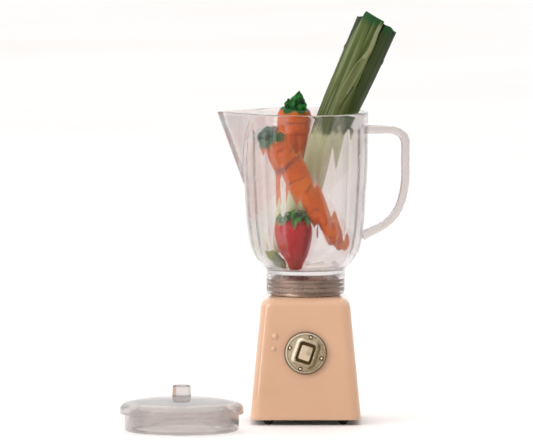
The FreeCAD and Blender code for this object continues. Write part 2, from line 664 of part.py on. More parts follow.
def handle_path():
    """Centre line of the handle in the XZ plane, from inside the upper wall to inside the lower wall."""
    top = RIM_Z - HANDLE_TOP_DROP
    into_wall = JUG_RADIUS - 2 * JUG_WALL
    bend_in = V(HANDLE_REACH - HANDLE_TOP_BEND, 0, top)
    bend_out = V(HANDLE_REACH, 0, top - HANDLE_TOP_BEND)
    diagonal = HANDLE_TOP_BEND * math.sqrt(0.5)
    bend_mid = bend_in + V(diagonal, 0, diagonal - HANDLE_TOP_BEND)
    edges = [
        Part.LineSegment(V(into_wall, 0, top), bend_in).toShape(),
        Part.Arc(bend_in, bend_mid, bend_out).toShape(),
    ]
    place = V(HANDLE_REACH, 0, RIM_Z - HANDLE_GRIP_END_DROP)
    edges.append(Part.LineSegment(bend_out, place).toShape())
    turned_by = 0.0
    for radius, turn in ((HANDLE_LONG_BEND, HANDLE_LONG_TURN), (HANDLE_LOWER_BEND, HANDLE_LOWER_TURN)):
        middle = place + handle_step(turned_by, turn / 2, radius)
        end = place + handle_step(turned_by, turn, radius)
        edges.append(Part.Arc(place, middle, end).toShape())
        place = end
        turned_by += turn
    angle = math.radians(turned_by)
    run = V(-math.sin(angle), 0, -math.cos(angle))
    end = place + run * ((place.x - into_wall + JUG_WALL) / math.sin(angle))
    edges.append(Part.LineSegment(place, end).toShape())
    return Part.Wire(edges)


def handle_step(turned_by, turn, radius):
    """Step along a bend of the handle that starts turned_by degrees from straight down."""
    a, b = math.radians(turned_by), math.radians(turned_by + turn)
    return V(math.cos(b) - math.cos(a), 0, math.sin(a) - math.sin(b)) * radius


def make_handle():
    """Clear D-shaped bar whose two ends are let a little way into the jug's wall."""
    path = handle_path()
    start = path.Vertexes[0].Point
    corner = V(0, -HANDLE_WIDTH / 2, -HANDLE_THICKNESS / 2)
    section = Part.makeBox(1, HANDLE_WIDTH, HANDLE_THICKNESS, corner)
    section = section.makeFillet(
        HANDLE_EDGE_RADIUS, [e for e in section.Edges if abs(e.tangentAt(e.FirstParameter).x) > 0.99]
    )
    outline = [f for f in section.Faces if f.CenterOfMass.x < 0.01][0].OuterWire
    outline.translate(start)
    bar = path.makePipeShell([outline], True, False)
    core = jug_hollow(HANDLE_BOND_DEPTH - JUG_WALL)
    return bar.cut(core)


# ---------------------------------------------------------------- lid
def lid_outline():
    """Outer edges (in the XZ plane) of the lid from its foot on the axis to the land under the knob."""
    rim = LID_PLUG_DEPTH
    shoulder = V(LID_FLANGE_RADIUS - LID_CROWN_RADIUS, 0, LID_SHOULDER_Z)
    corners = [
        (0, 0), (LID_PLUG_RADIUS, 0), (LID_PLUG_RADIUS, rim), (LID_FLANGE_RADIUS, rim),
        (LID_FLANGE_RADIUS, LID_SHOULDER_Z), (shoulder.x - 0.2, LID_SHOULDER_Z),
    ]
    edges = rounded_outline(corners, [0, LID_PLUG_EDGE_RADIUS, 0, 0, LID_CROWN_RADIUS, 0])
    shoulder = V(corners[-1][0], 0, LID_SHOULDER_Z)
    land = V(KNOB_RADIUS + LID_LAND_MARGIN, 0, LID_TOP_Z)
    halfway = (shoulder + land) / 2 + V(0, 0, LID_DOME_RISE / 4)
    edges.append(Part.Arc(shoulder, halfway, land).toShape())
    edges.append(Part.LineSegment(land, V(0, 0, LID_TOP_Z)).toShape())
    return edges


def make_lid():
    """Clear lid: a slightly domed crown, a flange and a hollow plug, with a hole for the knob."""
    edges = lid_outline()
    edges.append(Part.LineSegment(V(0, 0, LID_TOP_Z), V(0, 0, 0)).toShape())
    lid = Part.Face(Part.Wire(edges)).revolve(V(0, 0, 0), UP, 360)
    ceiling = LID_TOP_Z - LID_TOP_THICKNESS
    bore = LID_PLUG_RADIUS - LID_PLUG_WALL
    outline = [(0, -1), (bore, -1), (bore, ceiling), (0, ceiling)]
    hollow = turned_rounded(outline, [0, 0, LID_CEILING_RADIUS, 0])
    lid = lid.cut(hollow)
    lid = lid.cut(cylinder(KNOB_STUB_RADIUS, LID_TOP_Z - KNOB_STUB_LENGTH, LID_TOP_Z + 1))
    lid.translate(V(LID_X, LID_Y, 0))
    return lid


def make_lid_knob():
    """Clear, slightly tapered knob with a stub pressed into the lid."""
    stub = LID_TOP_Z - KNOB_STUB_LENGTH
    top = LID_TOP_Z + KNOB_HEIGHT
    outline = [
        (0, stub), (KNOB_STUB_RADIUS, stub), (KNOB_STUB_RADIUS, LID_TOP_Z), (KNOB_RADIUS, LID_TOP_Z),
        (KNOB_TOP_RADIUS, top), (0, top),
    ]
    knob = turned_rounded(outline, [0, 0, 0, 0, KNOB_EDGE_RADIUS, 0])
    knob.translate(V(LID_X, LID_Y, 0))
    return knob


# ---------------------------------------------------------------- vegetables
def in_jug(shares):
    """Point from its shares (across, deep, up) of the jug's radius and inner height."""
    across, deep, up = shares
    return V(across * JUG_RADIUS, deep * JUG_RADIUS, JUG_FLOOR_Z + up * (RIM_Z - JUG_FLOOR_Z))


def swept_in_jug(foot, tip, radii):
    """Body of revolution as long as the way from foot to tip, with its radii as shares of the jug's."""
    length = (in_jug(tip) - in_jug(foot)).Length
    return length, swept_radius([(share * length, radius * JUG_RADIUS) for share, radius in radii])


def make_leek():
    """Leek with a slim white shaft that widens into overlapping leaves, cut off level at the top."""
    length, leek = swept_in_jug(LEEK_FOOT, LEEK_TIP, LEEK_RADII)
    flatten = FreeCAD.Matrix()
    flatten.scale(1, LEEK_FLATTEN, 1)
    leek = leek.transformGeometry(flatten)
    half = LEEK_RADII[-1][1] * JUG_RADIUS
    for start, drop in LEEK_OUTER_LEAVES:
        left = start * half if start > 0 else (start - 2) * half
        corner = V(left, -2 * half, length - drop * half)
        leek = leek.cut(Part.makeBox(2 * half, 4 * half, 2 * half, corner))
    return stand(leek, in_jug(LEEK_FOOT), in_jug(LEEK_TIP))


def make_carrot(foot, tip, radii, tuft):
    """Carrot of revolution with a knobbly leaf tuft of (x, y, z, radius) knobs at its crown."""
    length, carrot = swept_in_jug(foot, tip, radii)
    knob = CARROT_TUFT_SHARE * JUG_RADIUS
    for x, y, z, radius in tuft:
        carrot = carrot.fuse(Part.makeSphere(radius * knob, V(x * knob, y * knob, length + z * knob)))
    return stand(carrot.removeSplitter(), in_jug(foot), in_jug(tip))


def front_tuft():
    """Low crown of knobs in a ring round a middle one."""
    ring = []
    for i in range(FRONT_TUFT_RING):
        angle = 2 * math.pi * i / FRONT_TUFT_RING
        ring.append((FRONT_TUFT_SPREAD * math.cos(angle), FRONT_TUFT_SPREAD * math.sin(angle), -0.16, 1.0))
    return ring + [(0, 0, 0.21, 1.3)]


def make_strawberry():
    """Strawberry standing on its tip, with a ring of leaves round a short stalk."""
    length, berry = swept_in_jug(STRAWBERRY_FOOT, STRAWBERRY_TIP, STRAWBERRY_RADII)
    spread = CALYX_SPREAD * JUG_RADIUS
    for i in range(CALYX_LEAVES):
        leaf = Part.makeSphere(1.0)
        squeeze = FreeCAD.Matrix()
        squeeze.scale(spread / 2, CALYX_LEAF_WIDTH * spread, CALYX_THICKNESS_SHARE * spread)
        leaf = leaf.transformGeometry(squeeze)
        leaf.translate(V(spread / 2, 0, 0))
        leaf.rotate(V(0, 0, 0), V(0, 1, 0), CALYX_DROOP)
        leaf.rotate(V(0, 0, 0), UP, 360 * i / CALYX_LEAVES)
        leaf.translate(V(0, 0, length + CALYX_LIFT * spread))
        berry = berry.fuse(leaf)
    stalk = CALYX_STALK * spread
    berry = berry.fuse(cylinder(stalk, length - stalk, length + 2.6 * stalk))
    return stand(berry, in_jug(STRAWBERRY_FOOT), in_jug(STRAWBERRY_TIP))


def make_fallen_leaf():
    """Thin leaf, pointed at both ends and a little curled, that slopes up from the jug's floor."""
    base, point = in_jug(FALLEN_LEAF_BASE), in_jug(FALLEN_LEAF_POINT)
    length = (point - base).Length
    half = FALLEN_LEAF_WIDTH * JUG_RADIUS / 2
    edge = Part.Arc(V(-length, 0, 0), V(-length, half, length / 2), V(-length, 0, length)).toShape()
    other = Part.Arc(V(-length, 0, length), V(-length, -half, length / 2), V(-length, 0, 0)).toShape()
    outline = Part.Face(Part.Wire([edge, other])).extrude(V(2 * length, 0, 0))
    curl = FALLEN_LEAF_CURL * length
    bend = (length * length / 4 + curl * curl) / (2 * curl)
    start = V(curl - bend, -half - 1, length / 2)
    across = 2 * half + 2
    outer = Part.makeCylinder(bend, across, start, V(0, 1, 0))
    inner = Part.makeCylinder(bend - FALLEN_LEAF_THICKNESS * JUG_RADIUS, across, start, V(0, 1, 0))
    near = Part.makeBox(length, across, length, V(-length / 2, -across / 2, 0))
    return stand(outline.common(outer.cut(inner)).common(near), base, point)


# ---------------------------------------------------------------- write every node
def main():
    os.makedirs("parts", exist_ok=True)
    save(make_casing(), "casing")
    save(make_base_plate(), "base_plate")
    save(make_base_screws(), "base_screws")
    names = ("foot_front_left", "foot_front_right", "foot_back_left", "foot_back_right")
    for name, (x, y) in zip(names, foot_places()):
        save(make_foot(x, y), name)
    save(make_jug_seat(), "jug_seat")
    save(make_seat_washer(), "seat_washer")
    save(make_seat_screw(), "seat_screw")
    save(make_dial_plate(), "dial_plate")
    save(make_dial_rivets(), "dial_rivets")
    save(make_dial_nut(), "dial_nut")
    save(make_switch_key(), "switch_key")
    save(make_key_clip(), "key_clip")
    save(make_key_spring(), "key_spring")
    handle = make_handle()
    save(make_jug(handle), "jug")
    save(handle, "jug_handle")
    save(make_lid(), "lid")
    save(make_lid_knob(), "lid_knob")
    save(make_leek(), "leek")
    save(make_carrot(FRONT_CARROT_FOOT, FRONT_CARROT_TIP, FRONT_CARROT_RADII, front_tuft()), "front_carrot")
    save(make_carrot(BACK_CARROT_FOOT, BACK_CARROT_TIP, BACK_CARROT_RADII, BACK_TUFT), "back_carrot")
    save(make_strawberry(), "strawberry")
    save(make_fallen_leaf(), "fallen_leaf")


main()
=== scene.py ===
"""Looks of a miniature toy blender: painted base, cast dial, clear jug and lid, painted vegetables.

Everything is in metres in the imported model's own frame: the origin is on the jug's axis at the
table, +X points to the handle, -Y to the dial and +Z up. Surfaces are numpy grids: rows run along a
profile and columns run round it.
"""

import logging
import math
from dataclasses import dataclass
from enum import Enum
from typing import Any, Callable, Optional, Sequence

import bpy
import numpy as np
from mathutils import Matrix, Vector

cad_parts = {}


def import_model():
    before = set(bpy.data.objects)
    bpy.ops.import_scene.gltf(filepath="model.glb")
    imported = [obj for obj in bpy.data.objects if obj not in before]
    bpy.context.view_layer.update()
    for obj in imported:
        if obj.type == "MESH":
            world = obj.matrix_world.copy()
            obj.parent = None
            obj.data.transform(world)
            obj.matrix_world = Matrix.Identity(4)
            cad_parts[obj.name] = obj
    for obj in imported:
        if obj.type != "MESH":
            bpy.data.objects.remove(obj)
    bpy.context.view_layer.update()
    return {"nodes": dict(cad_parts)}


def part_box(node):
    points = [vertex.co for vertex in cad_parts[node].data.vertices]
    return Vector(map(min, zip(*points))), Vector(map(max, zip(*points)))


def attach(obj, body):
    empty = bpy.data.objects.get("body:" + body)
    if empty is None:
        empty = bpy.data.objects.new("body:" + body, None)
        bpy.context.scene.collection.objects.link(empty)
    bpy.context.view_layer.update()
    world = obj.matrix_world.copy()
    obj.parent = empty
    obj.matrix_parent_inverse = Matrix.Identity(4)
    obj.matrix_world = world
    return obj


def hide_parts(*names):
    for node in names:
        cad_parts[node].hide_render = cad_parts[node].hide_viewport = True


logging.basicConfig(level=logging.INFO, format="%(message)s")
log = logging.getLogger("toy_blender")

MM = 0.001
TAU = 2.0 * math.pi
CELL_PRIMES = np.array([374761393, 668265263, 2147483647])
HASH_PRIME = 1274126177
ACROSS = np.array([1.0, 0.0, 0.0])
DIAL_SHADE = 0x544222
KEY_ROOM = 0.42 * MM
Array = np.ndarray
Colour = tuple[float, float, float]
Point = tuple[float, float, float]
Path = Sequence[tuple[float, float]]
Face = tuple[Array, Array, Array]
Piece = bpy.types.Object
Finish = bpy.types.Material


# ------------------------------------------------------------------ numpy surfaces
def ease(low: float, high: float, value: Array) -> Array:
    """Hermite ramp: 3t^2 - 2t^3 of the value's clamped share t of the way from low to high.

    Args:
        low: value where the ramp is 0.
        high: value where the ramp is 1, above or below low.
        value: values to ramp.

    Returns:
        The ramp, 0 to 1, in value's shape.
    """
    t = np.clip((value - low) / (high - low), 0.0, 1.0)
    return t * t * (3.0 - 2.0 * t)


def lattice_noise(points: Array, scale: float, seed: int = 0) -> Array:
    """Smooth value noise: hashed corner values of the unit cell, blended by Hermite weights.

    Args:
        points: (..., 3) positions.
        scale: cells per unit of length.
        seed: chooses another pattern.

    Returns:
        Noise from -1 to 1 in the leading shape of points.
    """
    place = points * scale
    cell = np.floor(place).astype(np.int64)
    part = place - cell
    weight = part * part * (3.0 - 2.0 * part)
    total = np.zeros(points.shape[:-1])
    for corner in np.ndindex(2, 2, 2):
        key = cell + np.array(corner)
        mixed = (key * CELL_PRIMES).sum(axis=-1) + seed * HASH_PRIME
        mixed = (mixed ^ (mixed >> 13)) * HASH_PRIME
        value = ((mixed ^ (mixed >> 16)) & 0xFFFF) / 32767.5 - 1.0
        share = np.prod(np.where(np.array(corner) == 1, weight, 1.0 - weight), axis=-1)
        total += value * share
    return total


def rounded_path(corners: Path, radii: Sequence[float], step: float) -> Array:
    """Polyline with its corners turned into tangent arcs, sampled about every step.

    Each arc of radius R starts R / tan(half the corner's inner angle) before the corner.

    Args:
        corners: (r, z) corners from first to last.
        radii: arc radius at each corner; the first and last are not used.
        step: largest distance between samples on arcs and runs.

    Returns:
        (n, 2) points of (r, z).
    """
    ends = np.asarray(corners, float)
    pieces = []
    start = ends[0]
    for i in range(1, len(ends) - 1):
        back, ahead = ends[i - 1] - ends[i], ends[i + 1] - ends[i]
        back, ahead = back / np.linalg.norm(back), ahead / np.linalg.norm(ahead)
        half = 0.5 * math.acos(float(np.clip(back @ ahead, -1.0, 1.0)))
        reach = radii[i] / math.tan(half)
        enter = ends[i] + back * reach
        pieces.append(straight(start, enter, step))
        if radii[i] > 0:
            centre = ends[i] + (back + ahead) / np.linalg.norm(back + ahead) * radii[i] / math.sin(half)
            first = enter - centre
            last = ends[i] + ahead * reach - centre
            swing = math.atan2(first[0] * last[1] - first[1] * last[0], float(first @ last))
            count = max(3, int(abs(swing) * radii[i] / step) + 2)
            angle = np.linspace(0.0, swing, count)[:, None]
            normal = np.array([-first[1], first[0]])
            pieces.append(centre + first * np.cos(angle) + normal * np.sin(angle))
        start = ends[i] + ahead * reach
    pieces.append(straight(start, ends[-1], step))
    points = np.vstack(pieces)
    keep = np.append(True, np.linalg.norm(np.diff(points, axis=0), axis=1) > step * 0.02)
    return points[keep]


def straight(a: Array, b: Array, step: float) -> Array:
    """Evenly spaced points from a to b, at most step apart, both ends included."""
    count = max(2, int(np.linalg.norm(b - a) / step) + 2)
    return a + (b - a) * np.linspace(0.0, 1.0, count)[:, None]


def unit(vector: Array) -> Array:
    """The vector, or each row of vectors, divided by its length."""
    return vector / np.linalg.norm(vector, axis=-1, keepdims=True)


def skin(name: str, rings: Array, paint: Optional[Array] = None, joined: bool = False) -> Piece:
    """Object whose quads join point j of each ring to point j of the next, each ring closed on itself.

    Each end is closed by a fan from its ring to the ring's mean point. UV u is the share of the way
    round and v the share of the way along.

    Args:
        name: object name.
        rings: (n, m, 3) points; columns run anticlockwise seen against the direction of the rows.
        paint: (n, m, 3) linear colours, kept as the colour attribute "paint".
        joined: whether the last ring joins the first, as on a torus, in place of the fans.

    Returns:
        The linked mesh object.
    """
    n, m = rings.shape[:2]
    rows = n if joined else n - 1
    i, j = np.meshgrid(np.arange(rows), np.arange(m), indexing="ij")
    ahead, beside = (i + 1) % n, (j + 1) % m
    quads = np.stack([i * m + j, i * m + beside, ahead * m + beside, ahead * m + j], axis=-1).reshape(-1, 4)
    u, v, du, dv = j / m, i / (n - 1), 1.0 / m, 1.0 / (n - 1)
    corners = [(u, v), (u + du, v), (u + du, v + dv), (u, v + dv)]
    uv = [np.stack([np.stack(corner, -1) for corner in corners], axis=2).reshape(-1, 2)]
    verts, fans = [rings.reshape(-1, 3)], [np.zeros((0, 3), int)]
    shades = [] if paint is None else [paint.reshape(-1, 3)]
    col = np.arange(m)
    for at_end in () if joined else (0, 1):
        near, far = [col, (col + 1) % m][:: 2 * at_end - 1]
        pole = np.full(m, n * m + at_end)
        fans.append(np.stack([near + (n - 1) * m * at_end, far + (n - 1) * m * at_end, pole], -1))
        verts.append(rings[-at_end].mean(axis=0, keepdims=True))
        pair = [col / m, (col + 1) / m][:: 2 * at_end - 1]
        middle, edge = (col / m + (col + 1) / m) / 2, np.full(m, float(at_end))
        uv.append(np.stack([np.stack([share, edge], -1) for share in (*pair, middle)], axis=1).reshape(-1, 2))
        if paint is not None:
            shades.append(paint[-at_end].mean(axis=0, keepdims=True))
    obj = make_object(name, np.vstack(verts), quads, np.vstack(fans), np.vstack(uv), True)
    if paint is not None:
        layer = obj.data.color_attributes.new("paint", "FLOAT_COLOR", "POINT")
        colours = np.vstack(shades)
        colours = np.column_stack([colours, np.ones(len(colours))]).astype(np.float32)
        layer.data.foreach_set("color", colours.ravel())
    return obj


def make_object(name: str, verts: Array, quads: Array, tris: Array, uv: Array, smooth: bool) -> Piece:
    """Linked mesh object from vertex, quad and triangle arrays, with one UV pair per corner.

    Args:
        name: name of the object and its mesh.
        verts: (n, 3) points.
        quads: (q, 4) vertex numbers.
        tris: (t, 3) vertex numbers.
        uv: one pair per corner, those of the quads first.
        smooth: whether the faces are shaded smooth.

    Returns:
        The linked object.
    """
    mesh = bpy.data.meshes.new(name)
    mesh.vertices.add(len(verts))
    mesh.vertices.foreach_set("co", verts.astype(np.float32).ravel())
    corners = np.concatenate([quads.ravel(), tris.ravel()]).astype(np.int32)
    sizes = np.concatenate([np.full(len(quads), 4), np.full(len(tris), 3)]).astype(np.int32)
    starts = np.concatenate([[0], np.cumsum(sizes)[:-1]]).astype(np.int32)
    mesh.loops.add(len(corners))
    mesh.loops.foreach_set("vertex_index", corners)
    mesh.polygons.add(len(sizes))
    mesh.polygons.foreach_set("loop_start", starts)
    mesh.polygons.foreach_set("use_smooth", np.full(len(sizes), smooth))
    layer = mesh.uv_layers.new(name="UVMap")
    layer.uv.foreach_set("vector", uv.astype(np.float32).ravel())
    mesh.update(calc_edges=True)
    mesh.validate()
    obj = bpy.data.objects.new(name, mesh)
    bpy.context.scene.collection.objects.link(obj)
    return obj


def merge(name: str, parts: Sequence[Piece]) -> Piece:
    """Join objects that sit at the origin into one, under a new name.

    Args:
        name: name of the joined object.
        parts: objects that sit at the origin.

    Returns:
        The first object, which now holds them all.
    """
    bpy.ops.object.select_all(action="DESELECT")
    for part in parts:
        part.select_set(True)
    bpy.context.view_layer.objects.active = parts[0]
    bpy.ops.object.join()
    parts[0].name = name
    parts[0].data.name = name
    return parts[0]


def round_rings(radius: Array, turn: Array, height: Array, flat: float = 1.0) -> Array:
    """Points x = r cos a, y = flat r sin a and z at each radius r, angle a and height z."""
    return np.stack([radius * np.cos(turn), radius * np.sin(turn) * flat, height + 0.0 * turn], axis=-1)


def turned(profile: Array, columns: int, centre: Sequence[float] = (0.0, 0.0)) -> Array:
    """Rings of a body of revolution about centre, from the (r, z) points of its profile."""
    angle = np.arange(columns) * TAU / columns
    return round_rings(profile[:, :1], angle, profile[:, 1:]) + np.array([*centre, 0.0])


def along_axis(rings: Array, foot: Array, tip: Array) -> Array:
    """Rings built up the Z axis, turned so that Z runs from foot to tip and X stays in the XZ plane.

    Args:
        rings: (..., 3) points built up the Z axis.
        foot: where the origin goes.
        tip: point that Z runs towards.

    Returns:
        The turned and moved points.
    """
    up = unit(tip - foot)
    side = unit(np.cross(np.array([0.0, 1.0, 0.0]), up))
    deep = np.cross(up, side)
    return foot + rings[..., :1] * side + rings[..., 1:2] * deep + rings[..., 2:] * up


# ------------------------------------------------------------------ shader expressions
class Wire:
    """An output socket that takes part in Python arithmetic; each operator adds one Math node."""

    def __init__(self, tree: "Tree", socket: Any) -> None:
        """Wrap a socket of the tree."""
        self.tree = tree
        self.socket = socket

    def math(self, operation: str, *others: Any) -> "Wire":
        """Math node of that operation on this value and the others."""
        return self.tree.node("ShaderNodeMath", {"operation": operation}, [self, *others])

    def __add__(self, other: Any) -> "Wire":
        """Sum."""
        return self.math("ADD", other)

    __radd__ = __add__

    def __sub__(self, other: Any) -> "Wire":
        """This less the other."""
        return self.math("SUBTRACT", other)

    def __rsub__(self, other: Any) -> "Wire":
        """The other less this."""
        return self.tree.node("ShaderNodeMath", {"operation": "SUBTRACT"}, [other, self])

    def __mul__(self, other: Any) -> "Wire":
        """Product."""
        return self.math("MULTIPLY", other)

    __rmul__ = __mul__

    def __pow__(self, other: Any) -> "Wire":
        """Power."""
        return self.math("POWER", other)

    def ramp(self, low: float, high: float) -> "Wire":
        """Smooth ramp from 0 at low to 1 at high, either way round.

        Args:
            low: value that gives 0.
            high: value that gives 1.

        Returns:
            The ramp as a wire.
        """
        span = {"Value": self, "From Min": min(low, high), "From Max": max(low, high)}
        if low > high:
            span.update({"To Min": 1.0, "To Max": 0.0})
        return self.tree.node("ShaderNodeMapRange", {"interpolation_type": "SMOOTHSTEP"}, span)


class Tree:
    """Node tree of one material or world, with one method that makes any node."""

    def __init__(self, name: str, family: str = "materials") -> None:
        """Start an empty material of that name, or a world where the family is "worlds".

        Args:
            name: name of the material or world.
            family: "materials" or "worlds".
        """
        self.material = getattr(bpy.data, family).new(name)
        self.material.use_nodes = True
        self.nodes = self.material.node_tree.nodes
        self.links = self.material.node_tree.links
        self.nodes.clear()

    def node(self, kind: str, settings: Optional[dict] = None, inputs: Any = None, output: Any = 0) -> Wire:
        """Add a node.

        Args:
            kind: Blender's type name of the node.
            settings: attributes set first, such as a Math node's operation.
            inputs: values or wires, by socket name, or in order as a list.
            output: name or index of the wanted output.

        Returns:
            The wanted output as a wire.
        """
        made = self.nodes.new(kind)
        for key, value in (settings or {}).items():
            setattr(made, key, value)
        pairs = enumerate(inputs) if isinstance(inputs, (list, tuple)) else (inputs or {}).items()
        for key, value in pairs:
            socket = made.inputs[key]
            if isinstance(value, Wire):
                self.links.new(value.socket, socket)
            else:
                socket.default_value = value
        return Wire(self, made.outputs[output])

    def place(self) -> Wire:
        """Object coordinates, in metres."""
        return self.node("ShaderNodeTexCoord", output="Object")

    def axes(self, vector: Wire) -> tuple[Wire, Wire, Wire]:
        """The three parts of a vector."""
        outs = self.node("ShaderNodeSeparateXYZ", None, [vector]).socket.node.outputs
        return Wire(self, outs[0]), Wire(self, outs[1]), Wire(self, outs[2])

    def noise(self, vector: Wire, scale: float, detail: float = 3.0, stretch: float = 1.0,
              rough: float = 0.5) -> Wire:
        """Fractal noise, 0 to 1, at scale cells per metre, with heights counted stretch times.

        Args:
            vector: place at which it is read, in metres.
            scale: cells per metre.
            detail: number of finer layers.
            stretch: factor on heights.
            rough: strength of each layer against the one before.

        Returns:
            The noise as a wire.
        """
        if stretch != 1.0:
            factors = (1.0, 1.0, stretch)
            vector = self.node("ShaderNodeVectorMath", {"operation": "MULTIPLY"}, [vector, factors])
        wanted = {"Vector": vector, "Scale": scale, "Detail": detail, "Roughness": rough}
        return self.node("ShaderNodeTexNoise", None, wanted)

    def mix(self, share: Any, low: Any, high: Any) -> Wire:
        """Colour from low to high as share goes 0 to 1; an end is a 0xRRGGBB code, linear or a wire.

        Args:
            share: 0 for low and 1 for high, a number or a wire.
            low: colour at 0.
            high: colour at 1.

        Returns:
            The colour as a wire.
        """
        ends = [srgb(value) if isinstance(value, int) else value for value in (low, high)]
        ends = [value if isinstance(value, Wire) else (*value, 1.0) for value in ends]
        return self.node("ShaderNodeMix", {"data_type": "RGBA"}, {0: share, 6: ends[0], 7: ends[1]}, 2)

    def bump(self, height: Wire, distance: float, strength: float = 1.0) -> Wire:
        """Normal bent by a height that is distance metres tall."""
        wanted = {"Height": height, "Distance": distance, "Strength": strength}
        return self.node("ShaderNodeBump", None, wanted)

    def finish(self, inputs: dict) -> Finish:
        """Close the material with a Principled shader and those inputs."""
        self.close("Material", self.node("ShaderNodeBsdfPrincipled", None, inputs))
        return self.material

    def close(self, kind: str, shader: Wire) -> None:
        """Lead a shader to the output node of a "Material" or a "World"."""
        out = self.nodes.new("ShaderNodeOutput" + kind)
        self.links.new(shader.socket, out.inputs["Surface"])


def srgb(code: int) -> Colour:
    """Linear colour of an 0xRRGGBB code: ((s + 0.055) / 1.055)^2.4 above the toe.

    Args:
        code: red, green and blue, one byte each.

    Returns:
        The three linear parts, 0 to 1.
    """
    share = np.array([code >> 16, code >> 8 & 255, code & 255]) / 255.0
    linear = np.where(share <= 0.04045, share / 12.92, ((share + 0.055) / 1.055) ** 2.4)
    return tuple(float(c) for c in linear)


# ------------------------------------------------------------------ finishes
@dataclass(frozen=True)
class Enamel:
    """Thick gloss paint on a cast shell: faint orange peel, dirt specks, darker low down, painted shadow
    round the dial.
    """

    colour: int = 0xDBAF8E
    warm: int = 0xD6A785
    dirt_and_shade: int = 0x78543A
    roughness: float = 0.3
    dial_radius: float = 4.6 * MM
    dial_shadow_band: tuple[float, float] = (0.35 * MM, 0.05 * MM)

    def material(self, name: str, floor: float, height: float, dial: float) -> Finish:
        """Material for a shell that stands at height floor and is height tall.

        Args:
            name: material name.
            floor: lowest z of the shell, in metres.
            height: height of the shell, in metres.
            dial: height of the dial's centre, in metres.

        Returns:
            The material.
        """
        tree = Tree(name)
        place = tree.place()
        x, y, z = tree.axes(place)
        cloud = tree.noise(place, 90.0, 3.0).ramp(0.35, 0.7)
        colour = tree.mix(cloud * 0.3, self.colour, self.warm)
        # Darker towards the bottom.
        low = z.ramp(floor + 0.05 * height, floor)
        reach = (x * x + (z - dial) * (z - dial)) ** 0.5
        # Painted shadow: a dark ring on the front round the dial's edge, where the gap under it is in shade.
        ring = reach.ramp(*(self.dial_radius + wide for wide in self.dial_shadow_band))
        dial_gap_shadow = ring * y.ramp(-5 * MM, -6 * MM)
        specks = tree.noise(place, 2600.0, 2.0).ramp(0.74, 0.8)
        # The dirt specks, the darker bottom and the painted shadow round the dial share one dark colour.
        colour = tree.mix(low * 0.12 + specks * 0.12 + dial_gap_shadow * 0.7, colour, self.dirt_and_shade)
        rough = tree.noise(place, 500.0, 3.0) * 0.08 + (self.roughness - 0.04)
        peel = tree.noise(place, 420.0, 2.0) + tree.noise(place, 2200.0, 2.0) * 0.1
        return tree.finish({
            "Base Color": colour, "Roughness": rough, "Normal": tree.bump(peel, 0.03 * MM, 0.15),
            "Coat Weight": 1.0, "Coat Roughness": 0.03, "IOR": 1.5,
        })


@dataclass(frozen=True)
class ClearPlastic:
    """Clear acrylic with a faint rosy grey tint, polishing haze and light scuffs."""

    tint: Colour = (0.83, 0.785, 0.775)
    haze: float = 0.02
    ior: float = 1.49
    alpha: float = 0.86
    joint: float = -1.0
    cement_top: tuple[float, float] = (0.4 * MM, 0.2 * MM)

    def material(self, name: str) -> Finish:
        """Material of that name, darker in a thin band of cement at the height joint.

        Args:
            name: material name.

        Returns:
            The material.
        """
        tree = Tree(name)
        place = tree.place()
        cloud = tree.noise(place, 120.0, 3.0)
        deeper = tuple(0.97 * c for c in self.tint)
        colour = tree.mix(cloud.ramp(0.4, 0.7), self.tint, deeper)
        if self.joint > 0.0:
            cement = tree.axes(place)[2].ramp(*(self.joint + rise for rise in self.cement_top))
            colour = tree.mix(cement * 0.75, colour, 0x604E4A)
        scuffs = tree.noise(place, 500.0, 4.0, 0.2).ramp(0.62, 0.8)
        flow = tree.noise(place, 90.0, 2.0, 0.25)
        return tree.finish({
            "Base Color": colour, "Roughness": scuffs * 0.05 + self.haze, "Transmission Weight": 1.0,
            "IOR": self.ior, "Alpha": self.alpha, "Normal": tree.bump(flow, 0.04 * MM, 0.25),
            "Specular Tint": (0.5, 0.5, 0.5, 1.0),
        })


@dataclass(frozen=True)
class Metal:
    """Bare metal with patches of patina, grain that is grain_height mm deep, and optional turning lines."""

    colour: int
    dark: int
    roughness: float
    grain: float = 1800.0
    grain_height: float = 0.05
    lines: float = 0.0

    def material(self, name: str) -> Finish:
        """Material of that name.

        Args:
            name: material name.

        Returns:
            The material.
        """
        tree = Tree(name)
        place = tree.place()
        grain = tree.noise(place, self.grain, 5.0, rough=0.65)
        patch = tree.noise(place, self.grain / 5.0, 3.0)
        stain = patch.ramp(0.45, 0.75) * 0.45 + grain.ramp(0.55, 0.75) * 0.25
        colour = tree.mix(stain, self.colour, self.dark)
        height = grain
        if self.lines:
            z = tree.axes(place)[2]
            turning = tree.noise(tree.node("ShaderNodeCombineXYZ", None, [0.0, 0.0, z]), self.lines, 3.0)
            height = height * 0.3 + turning
        return tree.finish({
            "Base Color": colour, "Metallic": 1.0, "Roughness": stain * 0.25 + self.roughness,
            "Normal": tree.bump(height, self.grain_height * MM, 0.7),
        })


@dataclass(frozen=True)
class Matt:
    """Matt moulded plastic or rubber: even colour with moulding cloud, grain and worn high spots."""

    colour: int
    worn: int
    roughness: float = 0.7
    grain: float = 2500.0

    def material(self, name: str) -> Finish:
        """Material of that name.

        Args:
            name: material name.

        Returns:
            The material.
        """
        tree = Tree(name)
        place = tree.place()
        cloud = tree.noise(place, self.grain / 8.0, 4.0).ramp(0.4, 0.75)
        grain = tree.noise(place, self.grain, 3.0)
        return tree.finish({
            "Base Color": tree.mix(cloud, self.colour, self.worn),
            "Roughness": grain * 0.2 + (self.roughness - 0.1), "Normal": tree.bump(grain, 0.04 * MM, 0.5),
        })


